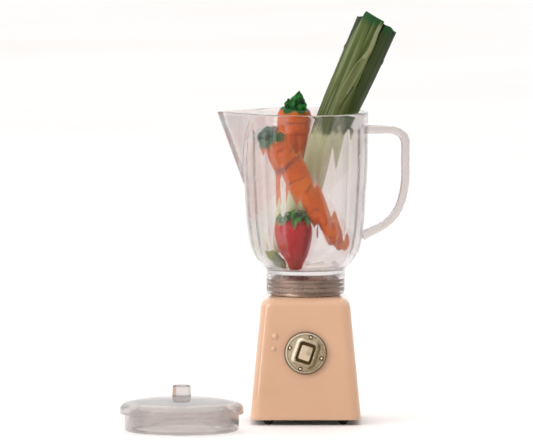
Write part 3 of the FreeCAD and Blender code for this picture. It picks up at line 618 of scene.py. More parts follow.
# ------------------------------------------------------------------ base
@dataclass
class Base:
    """Painted shell, its pips and the turned seat."""

    wall: float = 1.2 * MM
    corner: float = 2.5 * MM
    shoulder: float = 2.1 * MM
    hem: float = 0.35 * MM
    top_half: float = 9.76 * MM
    side_points: int = 14
    corner_points: int = 12
    seat_pitch: float = 1.0 * MM
    seat_bevel: float = 1.25 * MM
    seat_groove: float = 0.14 * MM
    seat_drop: float = 0.04 * MM
    pip_places: tuple = ((-6.78 * MM, 3.73 * MM, 0.8 * MM), (-7.07 * MM, 0.99 * MM, 0.63 * MM))
    pip_share: float = 0.62
    dial_height: float = 16.0 * MM

    def ring(self, half: float, corner: float, z: float) -> Array:
        """Rounded square in plan: quarter arcs at the corners, points spaced evenly on the sides.

        Args:
            half: half the side of the square.
            corner: radius of its corners.
            z: height.

        Returns:
            (m, 3) points, anticlockwise seen from above.
        """
        reach = half - corner
        angle = np.linspace(0.0, math.pi / 2, self.corner_points)
        share = np.linspace(-1.0, 1.0, self.side_points + 2)[1:-1]
        quarter = np.concatenate([
            np.stack([np.full(self.side_points, half), share * reach], -1),
            np.stack([reach + corner * np.cos(angle), reach + corner * np.sin(angle)], -1),
        ])
        turns = [quarter]
        for _ in range(3):
            turns.append(np.stack([-turns[-1][:, 1], turns[-1][:, 0]], -1))
        plan = np.concatenate(turns)
        return np.column_stack([plan, np.full(len(plan), z)])

    def shell(self, name: str, low: Array, high: Array) -> Piece:
        """Tapered hollow shell: outer skin, rounded shoulder and hem, and the inner skin up to the roof.

        Args:
            name: object name.
            low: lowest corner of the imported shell.
            high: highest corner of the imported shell.

        Returns:
            The shell object.
        """
        bottom, top, foot_half = low[2], high[2], high[0]
        slope = (foot_half - self.top_half) / (top - bottom)

        def row(z: float, inset: float, corner: float) -> Array:
            """Ring of the tapered shell at height z."""
            return self.ring(foot_half - slope * (z - bottom) - inset, max(corner, 0.2 * MM), z)

        rows = [row(top - self.wall, self.wall + 0.8 * self.top_half, 0.3 * MM)]
        rows += [row(top - self.wall, self.wall + d, 1.0 * MM) for d in (3.0 * MM, 0.6 * MM, 0.0)]
        for z in np.linspace(top - self.wall, bottom, 9)[1:-1]:
            rows.append(row(z, self.wall, 1.0 * MM))
        rows.append(row(bottom, self.wall, 1.0 * MM))
        rows.append(row(bottom, self.hem, self.corner - self.hem))
        for a in np.linspace(0.0, math.pi / 2, 6)[1:]:
            inset = self.hem * (1.0 - math.sin(a))
            rows.append(row(bottom + self.hem * (1.0 - math.cos(a)), inset, self.corner - inset))
        for z in np.linspace(bottom + self.hem, top - self.shoulder, 30)[1:]:
            rows.append(row(z, 0.0, self.corner))
        for a in np.linspace(0.0, math.pi / 2, 14)[1:]:
            inset = self.shoulder * (1.0 - math.cos(a))
            rows.append(row(top - self.shoulder * (1.0 - math.sin(a)), inset, self.corner - inset))
        for inset in np.linspace(self.shoulder, self.top_half * 0.9, 6)[1:]:
            rows.append(row(top, inset, self.corner - self.shoulder))
        return skin(name, np.stack(rows))

    def face(self, low: Array, high: Array, height: float) -> Face:
        """Point on the middle of the front face at a height, the way up the face, and its outward normal.

        Args:
            low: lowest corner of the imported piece.
            high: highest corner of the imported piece.
            height: height of the point.

        Returns:
            The point, the way up the face and its outward normal.
        """
        slope = (high[0] - self.top_half) / (high[2] - low[2])
        s, c = math.sin(math.atan(slope)), math.cos(math.atan(slope))
        middle = np.array([0.0, -(high[0] - slope * (height - low[2])), height])
        return middle, np.array([0.0, s, c]), np.array([0.0, -c, s])

    def pips(self, face: Face) -> list[Piece]:
        """Cast pips beside the dial: caps of spheres whose centres lie a little below the face.

        Args:
            face: point, way up and outward normal of the front at the dial.

        Returns:
            One object per pip.
        """
        middle, up, out = face
        made = []
        for i, (along, above, radius) in enumerate(self.pip_places):
            sunk = radius * (1.0 - self.pip_share)
            rim = math.acos(sunk * 0.8 / radius)
            rise = np.linspace(rim, 0.03, 22)
            cap = turned(np.stack([radius * np.sin(rise), radius * np.cos(rise) - sunk], -1), 40)
            base = middle + np.array([along, 0.0, 0.0]) + up * above
            rings = base + cap[..., :1] * ACROSS + cap[..., 1:2] * up + cap[..., 2:] * out
            made.append(skin(f"pip_{i}", rings))
        return made

    def seat(self, low: Array, high: Array, bore: float) -> Piece:
        """Turned seat that fills the skirt's bore: narrow ring grooves and a broad bevel at the top.

        Args:
            low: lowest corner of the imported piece.
            high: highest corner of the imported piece.
            bore: inner radius of the jug's skirt.

        Returns:
            The seat object.
        """
        radius, bottom, top = bore + 0.02 * MM, low[2], high[2]
        bevel = self.seat_bevel
        z = np.linspace(bottom, top - bevel, 90)
        depth = self.seat_groove * ease(0.9, 0.99, 0.5 + 0.5 * np.cos(TAU * (z - bottom) / self.seat_pitch))
        side = np.stack([radius - depth, z], -1)
        top -= self.seat_drop
        crown = [[radius - 0.1 * MM, top - bevel + 0.08 * MM], [radius - bevel, top], [0.2 * radius, top]]
        profile = np.vstack([[[0.2 * radius, bottom]], side, crown])
        return skin("turned_seat", turned(profile, 200))


# ------------------------------------------------------------------ jug
@dataclass
class Jug:
    """Clear jug: skirt, bowl, straight upper wall, three-cornered spout and fluted inner wall."""

    wall: float = 1.05 * MM
    floor: float = 0.9 * MM
    skirt: float = 8.7 * MM
    skirt_wall: float = 1.0 * MM
    radius: float = 13.9 * MM
    rises: Point = (3.25 * MM, 8.95 * MM, 23.5 * MM)
    shortfalls: Point = (1.97 * MM, 0.89 * MM, 0.0)
    bends: Point = (8.0 * MM, 45.0 * MM, 100.0 * MM)
    spout_height: float = 16.15 * MM
    spout_reach: float = 19.65 * MM
    flutes: int = 20
    flute_size: float = 0.19 * MM
    flute_overlap: float = 0.05 * MM
    flute_start: float = 2.2 * MM
    flute_fade: float = 6.0 * MM
    first_rib: float = math.radians(-97.4)
    plain_rim: float = 3.65 * MM
    lip: float = 0.22 * MM
    pole: float = 0.3 * MM
    steps: tuple[float, float, float] = (0.35 * MM, 0.62 * MM, 0.52 * MM)
    columns: int = 440

    def side(self, inset: float, neck: float, neck_radius: float, rim: float) -> list[tuple[float, float]]:
        """Corners (r, z) of the wall from neck to rim, each run moved square inwards by inset.

        Args:
            inset: distance moved inwards.
            neck: height at which the wall starts.
            neck_radius: outer radius there.
            rim: height of the rim.

        Returns:
            The corners, from neck to rim.
        """
        runs = [(neck_radius, neck)]
        runs += [(self.radius - s, neck + rise) for rise, s in zip(self.rises, self.shortfalls)]
        runs.append((self.radius, rim))
        if inset == 0.0:
            return runs
        points = np.array(runs)
        way = unit(np.diff(points, axis=0))
        normal = np.stack([-way[:, 1], way[:, 0]], -1) * inset
        starts = points[:-1] + normal
        moved = [tuple(starts[0])]
        for i in range(len(way) - 1):
            cross = way[i][0] * way[i + 1][1] - way[i][1] * way[i + 1][0]
            gap = starts[i + 1] - starts[i]
            t = (gap[0] * way[i + 1][1] - gap[1] * way[i + 1][0]) / cross
            moved.append(tuple(starts[i] + way[i] * t))
        moved.append((starts[-1][0], rim))
        return moved

    def spout_radius(self, angle: Array, z: Array, inset: Array, rim: float) -> Array:
        """Distance from the axis to the spout's flat flanks, moved inwards by inset.

        At share t of the way up, the nose is at N and the flank meets the wall at F. A ray at angle a
        from -X meets the line NF at (N x F - inset |F - N|) / (c cos a + (a_n - b) sin a), where
        N = (-a_n, 0) and F = (-b, c).

        Args:
            angle: angle from -X, 0 to pi.
            z: height.
            inset: distance in from the outer skin.
            rim: height of the rim.

        Returns:
            The distance, or 0 where the spout is not met.
        """
        low = rim - self.spout_height
        t = np.clip((z - low) / self.spout_height, 0.0, 1.0)
        lean = math.acos(self.radius / self.spout_reach)
        start = self.radius - 0.15 * MM
        nose = start + t * (self.spout_reach - start)
        flank_x = start + t * (self.radius * math.cos(lean) - start)
        flank_y = t * self.radius * math.sin(lean)
        run = nose - flank_x
        length = np.hypot(flank_y, run)
        below = flank_y * np.cos(angle) + run * np.sin(angle)
        reach = (nose * flank_y - inset * length) / np.maximum(below, 1e-9)
        inside = angle <= np.arctan2(flank_y, flank_x) + 1e-9
        return np.where(inside & (z > low), reach, 0.0)

    def flute_depth(self, theta: Array, radius: Array, depth: Array) -> Array:
        """How far the flutes reach out beyond the inner wall.

        Each flute is an arc of radius p about c, with its ends just inside the wall's radius and its middle
        depth beyond it: r = c cos w + sqrt(p^2 - c^2 sin^2 w) at angle w from the flute's middle.

        Args:
            theta: direction of each point from the axis.
            radius: radius of the inner wall.
            depth: reach of the flutes at their middle.

        Returns:
            The added radius, 0 or more.
        """
        pitch = TAU / self.flutes
        w = np.mod(theta - self.first_rib, pitch) - pitch / 2
        rib = radius - self.flute_overlap
        chord = rib * math.sin(pitch / 2)
        sagitta = radius + depth - rib * math.cos(pitch / 2)
        p = (chord * chord + sagitta * sagitta) / (2.0 * sagitta)
        c = radius + depth - p
        chord = np.sqrt(np.maximum(p * p - (c * np.sin(w)) ** 2, 0.0))
        return np.maximum(c * np.cos(w) + chord - radius, 0.0)

    def body(self, low: Array, high: Array, seat_top: float) -> Piece:
        """The whole moulding as one closed skin from the underside of its floor to the top of it.

        Args:
            low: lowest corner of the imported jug.
            high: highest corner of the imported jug.
            seat_top: height of the seat that the floor rests on.

        Returns:
            The jug object.
        """
        rim, floor_top, skirt = high[2], seat_top + self.floor, self.skirt
        bore = skirt - self.skirt_wall
        outer = self.side(0.0, floor_top, skirt, rim)
        inner = self.side(self.wall, floor_top, skirt, rim)
        (r0, z0), (r1, z1) = inner[0], inner[1]
        floor_radius = r0 + (r1 - r0) * (floor_top - z0) / (z1 - z0)
        lip, (under_step, up_step, down_step) = self.lip, self.steps
        under = [(self.pole, seat_top), (bore, seat_top), (bore, low[2]), (skirt, low[2]), outer[0]]
        under = rounded_path(under, [0, 0.15 * MM, 0.12 * MM, 0.85 * MM, 0], under_step)
        up = rounded_path(outer[:-1] + [(outer[-1][0], rim - lip)], [0, *self.bends, 0], up_step)
        turn = np.linspace(0.0, math.pi, 9)[1:-1]
        half = self.wall / 2
        top = np.stack([self.radius - half + half * np.cos(turn), rim - lip + lip * np.sin(turn)], -1)
        down_corners = [(inner[-1][0], rim - lip)] + inner[-2:0:-1]
        down_corners += [(floor_radius, floor_top), (self.pole, floor_top)]
        inner_bends = [b - self.wall for b in self.bends]
        down = rounded_path(down_corners, [0, *inner_bends[::-1], 1.0 * MM, 0], down_step)
        profile = np.vstack([under, up[1:], top, down])
        count = np.array([len(under), len(up) - 1, len(top), len(down)])
        inset = np.concatenate([
            np.zeros(count[0] + count[1]), (self.radius - top[:, 0]), np.full(count[3], self.wall),
        ])[:, None]
        walls = np.concatenate([np.zeros(count[0]), np.ones(count[1] + count[2] + count[3])])[:, None] > 0
        inside = np.concatenate([np.zeros(count[:3].sum()), np.ones(count[3])])[:, None]
        theta = np.arange(self.columns) * TAU / self.columns
        r = profile[:, :1] + 0.0 * theta
        z = profile[:, 1:] + 0.0 * theta
        from_spout = np.abs(np.mod(theta, TAU) - math.pi) + 0.0 * z
        top_end = ease(rim - self.plain_rim, rim - self.plain_rim - 0.25 * MM, z)
        depth = self.flute_size * np.clip((z - floor_top - self.flute_start) / self.flute_fade, 0.0, 1.0)
        reach = self.flute_depth(theta, np.maximum(profile[:, :1], 4.0 * MM), depth)
        r = r + reach * top_end * inside * (z > floor_top + self.flute_start)
        r = np.where(walls, np.maximum(r, self.spout_radius(from_spout, z, inset, rim)), r)
        return skin("clear_jug", round_rings(r, theta, z))


@dataclass
class Handle:
    """Clear bar of rounded section, carried along its centre line."""

    thick: float = 2.1 * MM
    wide: float = 2.8 * MM
    edge: float = 0.62 * MM
    reach: float = 22.24 * MM
    drop: float = 4.0 * MM
    top_bend: float = 3.2 * MM
    grip_end_drop: float = 13.75 * MM
    bends: tuple[tuple[float, float], tuple[float, float]] = ((21.5 * MM, 17.5), (9.5 * MM, 46.5))
    bond: float = 0.35 * MM
    lower_bond: float = 1.35 * MM

    def centre_line(self, rim: float, wall_radius: float) -> Array:
        """Points (x, z) of straight runs joined by arcs, from the upper root to the lower root.

        Args:
            rim: height of the jug's rim.
            wall_radius: outer radius of the jug's wall.

        Returns:
            (n, 2) points of (x, z).
        """
        top = rim - self.drop
        root = wall_radius - self.bond
        a = np.linspace(math.pi / 2, 0.0, 16)
        centre = np.array([self.reach - self.top_bend, top - self.top_bend])
        pieces = [straight(np.array([root, top]), np.array([centre[0], top]), 0.5 * MM)[:-1]]
        pieces.append(centre + self.top_bend * np.stack([np.cos(a), np.sin(a)], -1))
        place = np.array([self.reach, rim - self.grip_end_drop])
        pieces.append(straight(pieces[-1][-1], place, 0.6 * MM)[1:])
        turned_by = 0.0
        for radius, turn in self.bends:
            a = np.radians(turned_by + np.linspace(0.0, turn, 24))
            hub = place - radius * np.array([math.cos(a[0]), -math.sin(a[0])])
            arc = hub + radius * np.stack([np.cos(a), -np.sin(a)], -1)
            pieces.append(arc[1:])
            place = arc[-1]
            turned_by += turn
        way = np.array([-math.sin(a[-1]), -math.cos(a[-1])])
        end = place + way * (place[0] - wall_radius + self.lower_bond) / math.sin(a[-1])
        pieces.append(straight(place, end, 0.5 * MM)[1:])
        return np.vstack(pieces)

    def bar(self, rim: float, wall_radius: float) -> Piece:
        """Rounded rectangle section set square to the centre line at each of its points.

        Args:
            rim: height of the jug's rim.
            wall_radius: outer radius of the jug's wall.

        Returns:
            The handle object.
        """
        line = self.centre_line(rim, wall_radius)
        way = unit(np.gradient(line, axis=0))
        side = np.stack([way[:, 1], -way[:, 0]], -1)
        half_t, half_w = self.thick / 2 - self.edge, self.wide / 2 - self.edge
        a = np.linspace(0.0, math.pi / 2, 7)
        corner = self.edge * np.stack([np.cos(a), np.sin(a)], -1)
        plan = []
        for sx, sy in ((1, 1), (-1, 1), (-1, -1), (1, -1)):
            plan.append(corner + np.array([sx * half_t, sy * half_w]))
            corner = np.stack([-corner[:, 1], corner[:, 0]], -1)
        section = np.vstack(plan)
        x = line[:, :1] + side[:, :1] * section[:, 0]
        z = line[:, 1:] + side[:, 1:] * section[:, 0]
        y = np.broadcast_to(section[:, 1], x.shape)
        return skin("clear_handle", np.stack([x, -y, z], axis=-1))


# ------------------------------------------------------------------ lid
@dataclass
class Lid:
    """Clear lid with a hollow plug, and its pressed-in knob."""

    plug_wall: float = 1.0 * MM
    crown: float = 1.7 * MM
    dome: float = 0.75 * MM
    rise: float = 0.38 * MM
    roof: float = 1.25 * MM
    stub_radius: float = 0.9 * MM
    stub_length: float = 1.0 * MM
    plug_radius: float = 12.65 * MM
    plug_depth: float = 3.85 * MM
    knob_radius: float = 2.08 * MM
    slack: float = 0.015 * MM

    def cover(self, low: Array, high: Array) -> Piece:
        """Turned cover: ceiling, plug, flange, quarter-round crown and a shallow dome.

        Args:
            low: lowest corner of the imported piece.
            high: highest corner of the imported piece.

        Returns:
            The cover object.
        """
        flange, top = (high[0] - low[0]) / 2, high[2]
        shoulder = top - self.dome
        bore = self.plug_radius - self.plug_wall
        ceiling = top - self.roof
        land = self.knob_radius + 0.3 * MM
        step = 0.3 * MM
        body = rounded_path([
            (0.1 * MM, ceiling), (bore, ceiling), (bore, low[2]), (self.plug_radius, low[2]),
            (self.plug_radius, self.plug_depth), (flange, self.plug_depth), (flange, shoulder),
            (flange - self.crown, shoulder),
        ], [0, 0.9 * MM, 0.12 * MM, 0.75 * MM, 0.15 * MM, 0.12 * MM, self.crown - 0.02 * MM, 0], step)
        share = np.linspace(0.0, 1.0, 30)[1:]
        r = flange - self.crown + (land - flange + self.crown) * share
        dome = np.stack([r, shoulder + (self.dome + self.rise) * (1.0 - (1.0 - share) ** 2)], -1)
        peak = top + self.rise
        hole = self.stub_radius + self.slack
        well = np.array([[hole + 0.05 * MM, peak], [hole, peak - 0.05 * MM], [hole, top - self.stub_length],
                         [0.1 * MM, top - self.stub_length]])
        return skin("clear_lid", turned(np.vstack([body, dome, well]), 200, (low + high)[:2] / 2))

    def knob(self, low: Array, high: Array, seat: float) -> Piece:
        """Turned knob: stub, flat foot, slightly tapered side and a rounded top.

        Args:
            low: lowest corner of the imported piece.
            high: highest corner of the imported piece.
            seat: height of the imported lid.

        Returns:
            The knob object.
        """
        foot, head = seat + self.rise + self.slack, high[2] + self.rise
        profile = rounded_path([
            (0.1 * MM, low[2] + 0.02 * MM), (self.stub_radius, low[2] + 0.02 * MM), (self.stub_radius, foot),
            (self.knob_radius, foot), (self.knob_radius - 0.08 * MM, head), (0.1 * MM, head),
        ], [0, 0.1 * MM, 0, 0.12 * MM, 0.5 * MM, 0], 0.15 * MM)
        return skin("clear_knob", turned(profile, 96, (low + high)[:2] / 2))


# ------------------------------------------------------------------ studio
class Backdrop(Enum):
    """Brightness of the surroundings by direction."""

    BEHIND = 1.05
    FRONT = 0.45
    ABOVE = 0.45
    RIGHT_LOSS = 0.3


@dataclass
class Studio:
    """Pale table, soft lights and the camera."""

    target: Point = (-8.67 * MM, 0.0, 44.3 * MM)
    distance: float = 3.25
    height: float = 0.30215
    pixels_per_mm: float = 4.5
    frame_width: int = 533
    sensor: float = 36.0
    clip: tuple[float, float] = (0.1, 50.0)
    table_half: float = 3.0
    warm: Colour = (1.0, 0.93, 0.89)
    aim: Point = (0.0, 0.0, 40.0 * MM)
    lamps: tuple = (
        ("key_left", (-0.55, -0.65, 0.55), (0.5, 0.6), 2.0),
        ("top", (0.05, 0.15, 0.9), (0.8, 0.6), 1.0),
        ("strip_left", (-0.64, -0.4, 0.31), (0.1, 0.8), 1.5),
        ("strip_right", (0.7, -0.35, 0.25), (0.1, 0.6), 0.25),
    )

    def camera(self) -> None:
        """Camera whose lens gives pixels_per_mm at the target: f = p d s / w."""
        data = bpy.data.cameras.new("camera")
        place = np.array([self.target[0], -self.distance, self.height])
        gap = float(np.linalg.norm(place - np.array(self.target)))
        data.sensor_width = self.sensor
        data.lens = self.pixels_per_mm / MM * gap * self.sensor / self.frame_width
        data.clip_start, data.clip_end = self.clip
        obj = bpy.data.objects.new("camera", data)
        obj.location = tuple(place)
        tilt = math.atan2(self.height - self.target[2], self.distance)
        obj.rotation_euler = (math.pi / 2 - tilt, 0.0, 0.0)
        bpy.context.scene.collection.objects.link(obj)
        bpy.context.scene.camera = obj

    def world(self) -> None:
        """Surroundings: white behind, brightest above, dimmer and warmer at the front and the right."""
        tree = Tree("studio", "worlds")
        x, y, z = tree.axes(tree.node("ShaderNodeTexCoord", output="Generated"))
        behind = y.ramp(-0.5, 0.15)
        level = behind * (Backdrop.BEHIND.value - Backdrop.FRONT.value) + Backdrop.FRONT.value
        level = level + z.ramp(0.2, 0.9) * Backdrop.ABOVE.value
        level = level - x.ramp(0.3, 0.9) * Backdrop.RIGHT_LOSS.value
        colour = tree.mix(behind, self.warm, (1.0, 1.0, 1.0))
        tree.close("World", tree.node("ShaderNodeBackground", None, {"Color": colour, "Strength": level}))
        bpy.context.scene.world = tree.material

    def light(self, name: str, place: Point, size: tuple[float, float], watts: float) -> None:
        """Rectangular soft light at place, facing the toy.

        Args:
            name: light name.
            place: its middle, in metres.
            size: its width and height, in metres.
            watts: its power.
        """
        data = bpy.data.lights.new(name, "AREA")
        data.shape = "RECTANGLE"
        data.size, data.size_y = size
        data.energy = watts
        obj = bpy.data.objects.new(name, data)
        obj.location = place
        away = unit(np.array(place) - np.array(self.aim))
        heading = math.atan2(float(away[1]), float(away[0])) + math.pi / 2
        obj.rotation_euler = (math.acos(float(away[2])), 0.0, heading)
        bpy.context.scene.collection.objects.link(obj)

    def table(self) -> None:
        """Wide pale table top."""
        uv = np.array([[0, 0], [1, 0], [1, 1], [0, 1]], float)
        corners = np.column_stack([(2.0 * uv - 1.0) * self.table_half, np.zeros(4)])
        table = make_object("table", corners, np.array([[0, 1, 2, 3]]), np.zeros((0, 3), int), uv, False)
        dress(table, Matt(0xF4F3F2, 0xF0EFEE, 0.6, 60.0).material("table_white"))

    def build(self) -> None:
        """Camera, surroundings, table and the four lights."""
        self.camera()
        self.world()
        self.table()
        for lamp in self.lamps:
            self.light(*lamp)


# ------------------------------------------------------------------ painting on a grid
@dataclass
class Paint:
    """Linear colours on a grid of points, laid on coat by coat."""

    shape: tuple[int, int]
    ground: int

    def __post_init__(self) -> None:
        """Prime every point with the ground colour."""
        self.rgb = np.ones((*self.shape, 3)) * np.array(srgb(self.ground))

    def coat(self, mask: Array, colour: int) -> "Paint":
        """Lay on a 0xRRGGBB colour where the mask, 0 to 1, lets it: rgb + (colour - rgb) x mask."""
        self.rgb += (np.array(srgb(colour)) - self.rgb) * np.clip(mask, 0.0, 1.0)[..., None]
        return self


def line_distance(x: Array, y: Array, path: Path) -> Array:
    """Distance from each point to the nearest place on a polyline.

    Args:
        x: first coordinate of the points.
        y: second coordinate of the points.
        path: corners of the polyline in the same coordinates.

    Returns:
        The distances, in x's shape.
    """
    best = np.full(np.broadcast(x, y).shape, np.inf)
    for (x0, y0), (x1, y1) in zip(path, path[1:]):
        dx, dy = x1 - x0, y1 - y0
        t = np.clip(((x - x0) * dx + (y - y0) * dy) / (dx * dx + dy * dy), 0.0, 1.0)
        best = np.minimum(best, np.hypot(x - x0 - t * dx, y - y0 - t * dy))
    return best


def grain(u: Array, v: Array, across: float, along: float, seed: int) -> Array:
    """Seamless brush grain: noise on a cylinder with across cells round and along cells lengthways.

    Args:
        u: share of the way round.
        v: share of the way along.
        across: cells round.
        along: cells lengthways.
        seed: chooses another pattern.

    Returns:
        Noise from -1 to 1.
    """
    turn, height = np.broadcast_arrays(TAU * u, v * along)
    points = np.stack([np.cos(turn) * across / TAU, np.sin(turn) * across / TAU, height], axis=-1)
    return lattice_noise(points, 1.0, seed)


@dataclass(frozen=True)
class PaintedFinish:
    """Hand-painted resin: the colours come from the paint attribute, under fine mottling and brush relief."""

    roughness: float = 0.42
    relief: float = 0.08
    mottle: float = 0.22
    fine: float = 1100.0
    coat: float = 0.05
    metallic: float = 0.0
    ior: float = 1.27

    def material(self, name: str) -> Finish:
        """Material of that name.

        Args:
            name: material name.

        Returns:
            The material.
        """
        tree = Tree(name)
        place = tree.place()
        painted = tree.node("ShaderNodeAttribute", {"attribute_name": "paint"}, None, "Color")
        fine = tree.noise(place, self.fine, 4.0, rough=0.6)
        broad = tree.noise(place, self.fine / 5.0, 3.0)
        shade = (fine - 0.5) * self.mottle + (broad - 0.5) * self.mottle + 1.0
        scaled = {"Vector": painted, "Scale": shade}
        colour = tree.node("ShaderNodeVectorMath", {"operation": "SCALE"}, scaled, "Vector")
        height = fine + broad * 2.0
        return tree.finish({
            "Base Color": colour, "Roughness": fine * 0.25 + (self.roughness - 0.12),
            "Normal": tree.bump(height, self.relief * MM, 0.6), "Metallic": self.metallic,
            "Coat Weight": self.coat, "Coat Roughness": 0.25, "IOR": self.ior,
        })


def blade(name: str, line: Array, side: Array, half_width: Array, thick: Array, fold: float,
          paint: Callable[[Array, Array], Array]) -> Piece:
    """Thin closed leaf: a flat oval section carried along a line; lengths in millimetres.

    Args:
        name: object name.
        line: (n, 3) points of the middle of the leaf.
        side: unit vector across the leaf.
        half_width: (n,) half width at each point.
        thick: (n,) half thickness at each point.
        fold: how far each edge is raised for each unit of half width.
        paint: gives (n, m, 3) colours from the share along and the share across, -1 to 1.

    Returns:
        The leaf object.
    """
    a = np.linspace(0.0, TAU, 28, endpoint=False)
    line = line * MM
    up = unit(np.cross(unit(np.gradient(line, axis=0)), side))
    wide = (half_width * MM)[:, None] * np.cos(a)
    rise = fold * np.abs(wide) + (thick * MM)[:, None] * np.sin(a)
    rings = line[:, None] + side * wide[..., None] + up[:, None] * rise[..., None]
    along, across = np.broadcast_arrays(np.linspace(0.0, 1.0, len(line))[:, None], np.cos(a))
    return skin(name, rings, paint(along, across))


# ------------------------------------------------------------------ dial
@dataclass
class Dial:
    """Cast dial plate with a rim, a framed window and rivet seats; lengths in millimetres.

    It is a height field over polar rows (a across, b up the dial), closed by its edge, back and hub.
    """

    turn: float = math.radians(-18.5)
    lit_from: float = math.radians(150.0)
    radius: float = 4.6
    land: float = 0.7
    rim: float = 0.95
    rim_width: float = 0.42
    back: float = 0.05
    boss: Point = (5.1, 6.0, 1.3)
    boss_top: float = 1.3
    boss_bevel: float = 0.35
    window: Point = (3.6, 4.6, 0.7)
    floor: float = 0.3
    rivet_circle: float = 3.7
    rivet_seat: tuple[float, float] = (0.5, 0.58)
    hub: tuple[float, float] = (1.6, 2.1)
    bore: float = 0.68
    cast_depth: float = 0.012
    rows: int = 150
    columns: int = 420

    @staticmethod
    def block_distance(a: Array, b: Array, block: Point) -> Array:
        """Distance outside a rounded rectangle of (width, length, corner), negative inside it.

        Args:
            a: place across the dial.
            b: place up the dial.
            block: width, length and corner radius.

        Returns:
            The distances, in a's shape.
        """
        wide, long, corner = block
        x = np.abs(a) - (wide / 2 - corner)
        y = np.abs(b) - (long / 2 - corner)
        return np.hypot(np.maximum(x, 0.0), np.maximum(y, 0.0)) + np.minimum(np.maximum(x, y), 0.0) - corner

    def plate(self, face: Face) -> Piece:
        """The plate with its relief, patina painted in its low places, and painted highlights and shade by
        where the light falls.

        Args:
            face: point, way up and outward normal of the shell's front at the dial.

        Returns:
            The dial object.
        """
        angle = np.arange(self.columns) * TAU / self.columns
        r = np.linspace(self.radius, self.bore, self.rows)[:, None] + 0.0 * angle
        a, b = r * np.cos(angle), r * np.sin(angle)
        boss = self.block_distance(a, b, self.boss)
        window = self.block_distance(a, b, self.window)
        to_rivet = np.min([np.hypot(a - self.rivet_circle * math.cos(k), b - self.rivet_circle * math.sin(k))
                           for k in np.arange(4) * TAU / 4], axis=0)
        lip = self.rim_width
        h = self.land + (self.rim - self.land) * ease(self.radius - 1.4 * lip, self.radius - lip, r)
        h -= (lip / 3) * ease(self.radius - lip / 3, self.radius + lip / 4, r)
        h += (self.rivet_seat[1] - h) * ease(self.rivet_seat[0] + 0.05, self.rivet_seat[0] - 0.05, to_rivet)
        bevel_foot = self.boss_top - self.boss_bevel
        h += (bevel_foot - h) * ease(0.08, 0.0, boss)
        h += self.boss_bevel * np.clip(-boss / self.boss_bevel, 0.0, 1.0)
        h += (self.floor - h) * ease(0.06, -0.06, window)
        spot = np.stack([a, b, h], -1)
        cast = lattice_noise(spot, 6.0, 5) + 0.6 * lattice_noise(spot, 13.0, 6)
        h += self.cast_depth * cast * (r < self.radius - 0.1)

        # Painted light: the side towards lit_from is painted lighter and the far side darker.
        lit = np.cos(self.turn + angle - self.lit_from)
        slope_a, slope_b = self.downhill(a, b)
        light = self.lit_from - self.turn
        facing = slope_a * math.cos(light) + slope_b * math.sin(light)
        paint = Paint(r.shape, 0xBAA98D)
        paint.coat(0.5 * ease(-0.2, 0.9, lit * r / self.radius), 0xD6C8B0)
        paint.coat(0.5 * ease(0.0, -0.9, lit * r / self.radius), 0x9C8A6C)
        paint.coat(0.55 * ease(0.1, 0.8, cast), 0xDED0B8).coat(0.5 * ease(-0.1, -0.8, cast), 0x847250)
        # Painted highlight along the top of the rim, strongest on the lit side.
        paint.coat(ease(4.12, 4.25, r) * (0.45 + 0.5 * lit), 0xECE2CE)
        paint.coat(0.5 * ease(0.14, 0.0, np.abs(r - 4.06)), 0x78643E)
        # Painted shade on the plate's outer edge.
        paint.coat(0.95 * ease(4.40, 4.52, r), DIAL_SHADE)
        # Painted highlight on the boss's flank that faces the light, painted shade on the flank turned away,
        # and a painted shadow beside the boss's foot on the far side.
        flank = ease(0.30, 0.05, boss) * ease(-0.46, -0.36, boss)
        paint.coat(flank * ease(0.1, 0.8, facing), 0xF8EEDA)
        paint.coat(0.75 * flank * ease(-0.1, -0.8, facing), 0x80704E)
        paint.coat(0.6 * ease(0.55, 0.15, boss) * ease(-0.02, 0.1, boss) * ease(0.0, -0.7, facing), 0x70603E)
        paint.coat(0.95 * ease(0.06, -0.06, window), 0x68542A)
        paint.coat(0.7 * ease(-0.35, -0.05, window) * ease(0.05, -0.05, window), 0x3E3014)
        seat = ease(self.rivet_seat[0] + 0.06, self.rivet_seat[0] - 0.04, to_rivet)
        paint.coat(0.92 * seat, 0x4E3E1E)

        hub, deep = self.hub
        back = [(self.radius, self.back), (hub, self.back), (hub, -deep), (self.bore, -deep)]
        closing = [(self.radius, h[0, 0]), *back, (self.bore, self.floor)]
        rest = rounded_path(closing, [0] * len(closing), 0.4)[:0:-1]
        field = np.concatenate([np.stack([a, b, h], -1), turned(rest, self.columns)])
        dark = Paint((len(rest), self.columns), DIAL_SHADE).rgb
        middle, up, out = face
        c, sn = math.cos(self.turn), math.sin(self.turn)
        along, above = field[..., 0] * c - field[..., 1] * sn, field[..., 0] * sn + field[..., 1] * c
        rings = middle + (along[..., None] * ACROSS + above[..., None] * up + field[..., 2:] * out) * MM
        return skin("cast_dial", rings, np.concatenate([paint.rgb, dark]), joined=True)

    def downhill(self, a: Array, b: Array) -> tuple[Array, Array]:
        """Unit direction away from the boss at each point.

        Args:
            a: place across the dial.
            b: place up the dial.

        Returns:
            The parts of that direction across and up the dial.
        """
        step = 0.02
        here = self.block_distance(a, b, self.boss)
        x = self.block_distance(a + step, b, self.boss) - here
        y = self.block_distance(a, b + step, self.boss) - here
        size = np.maximum(np.hypot(x, y), 1e-9)
        return x / size, y / size


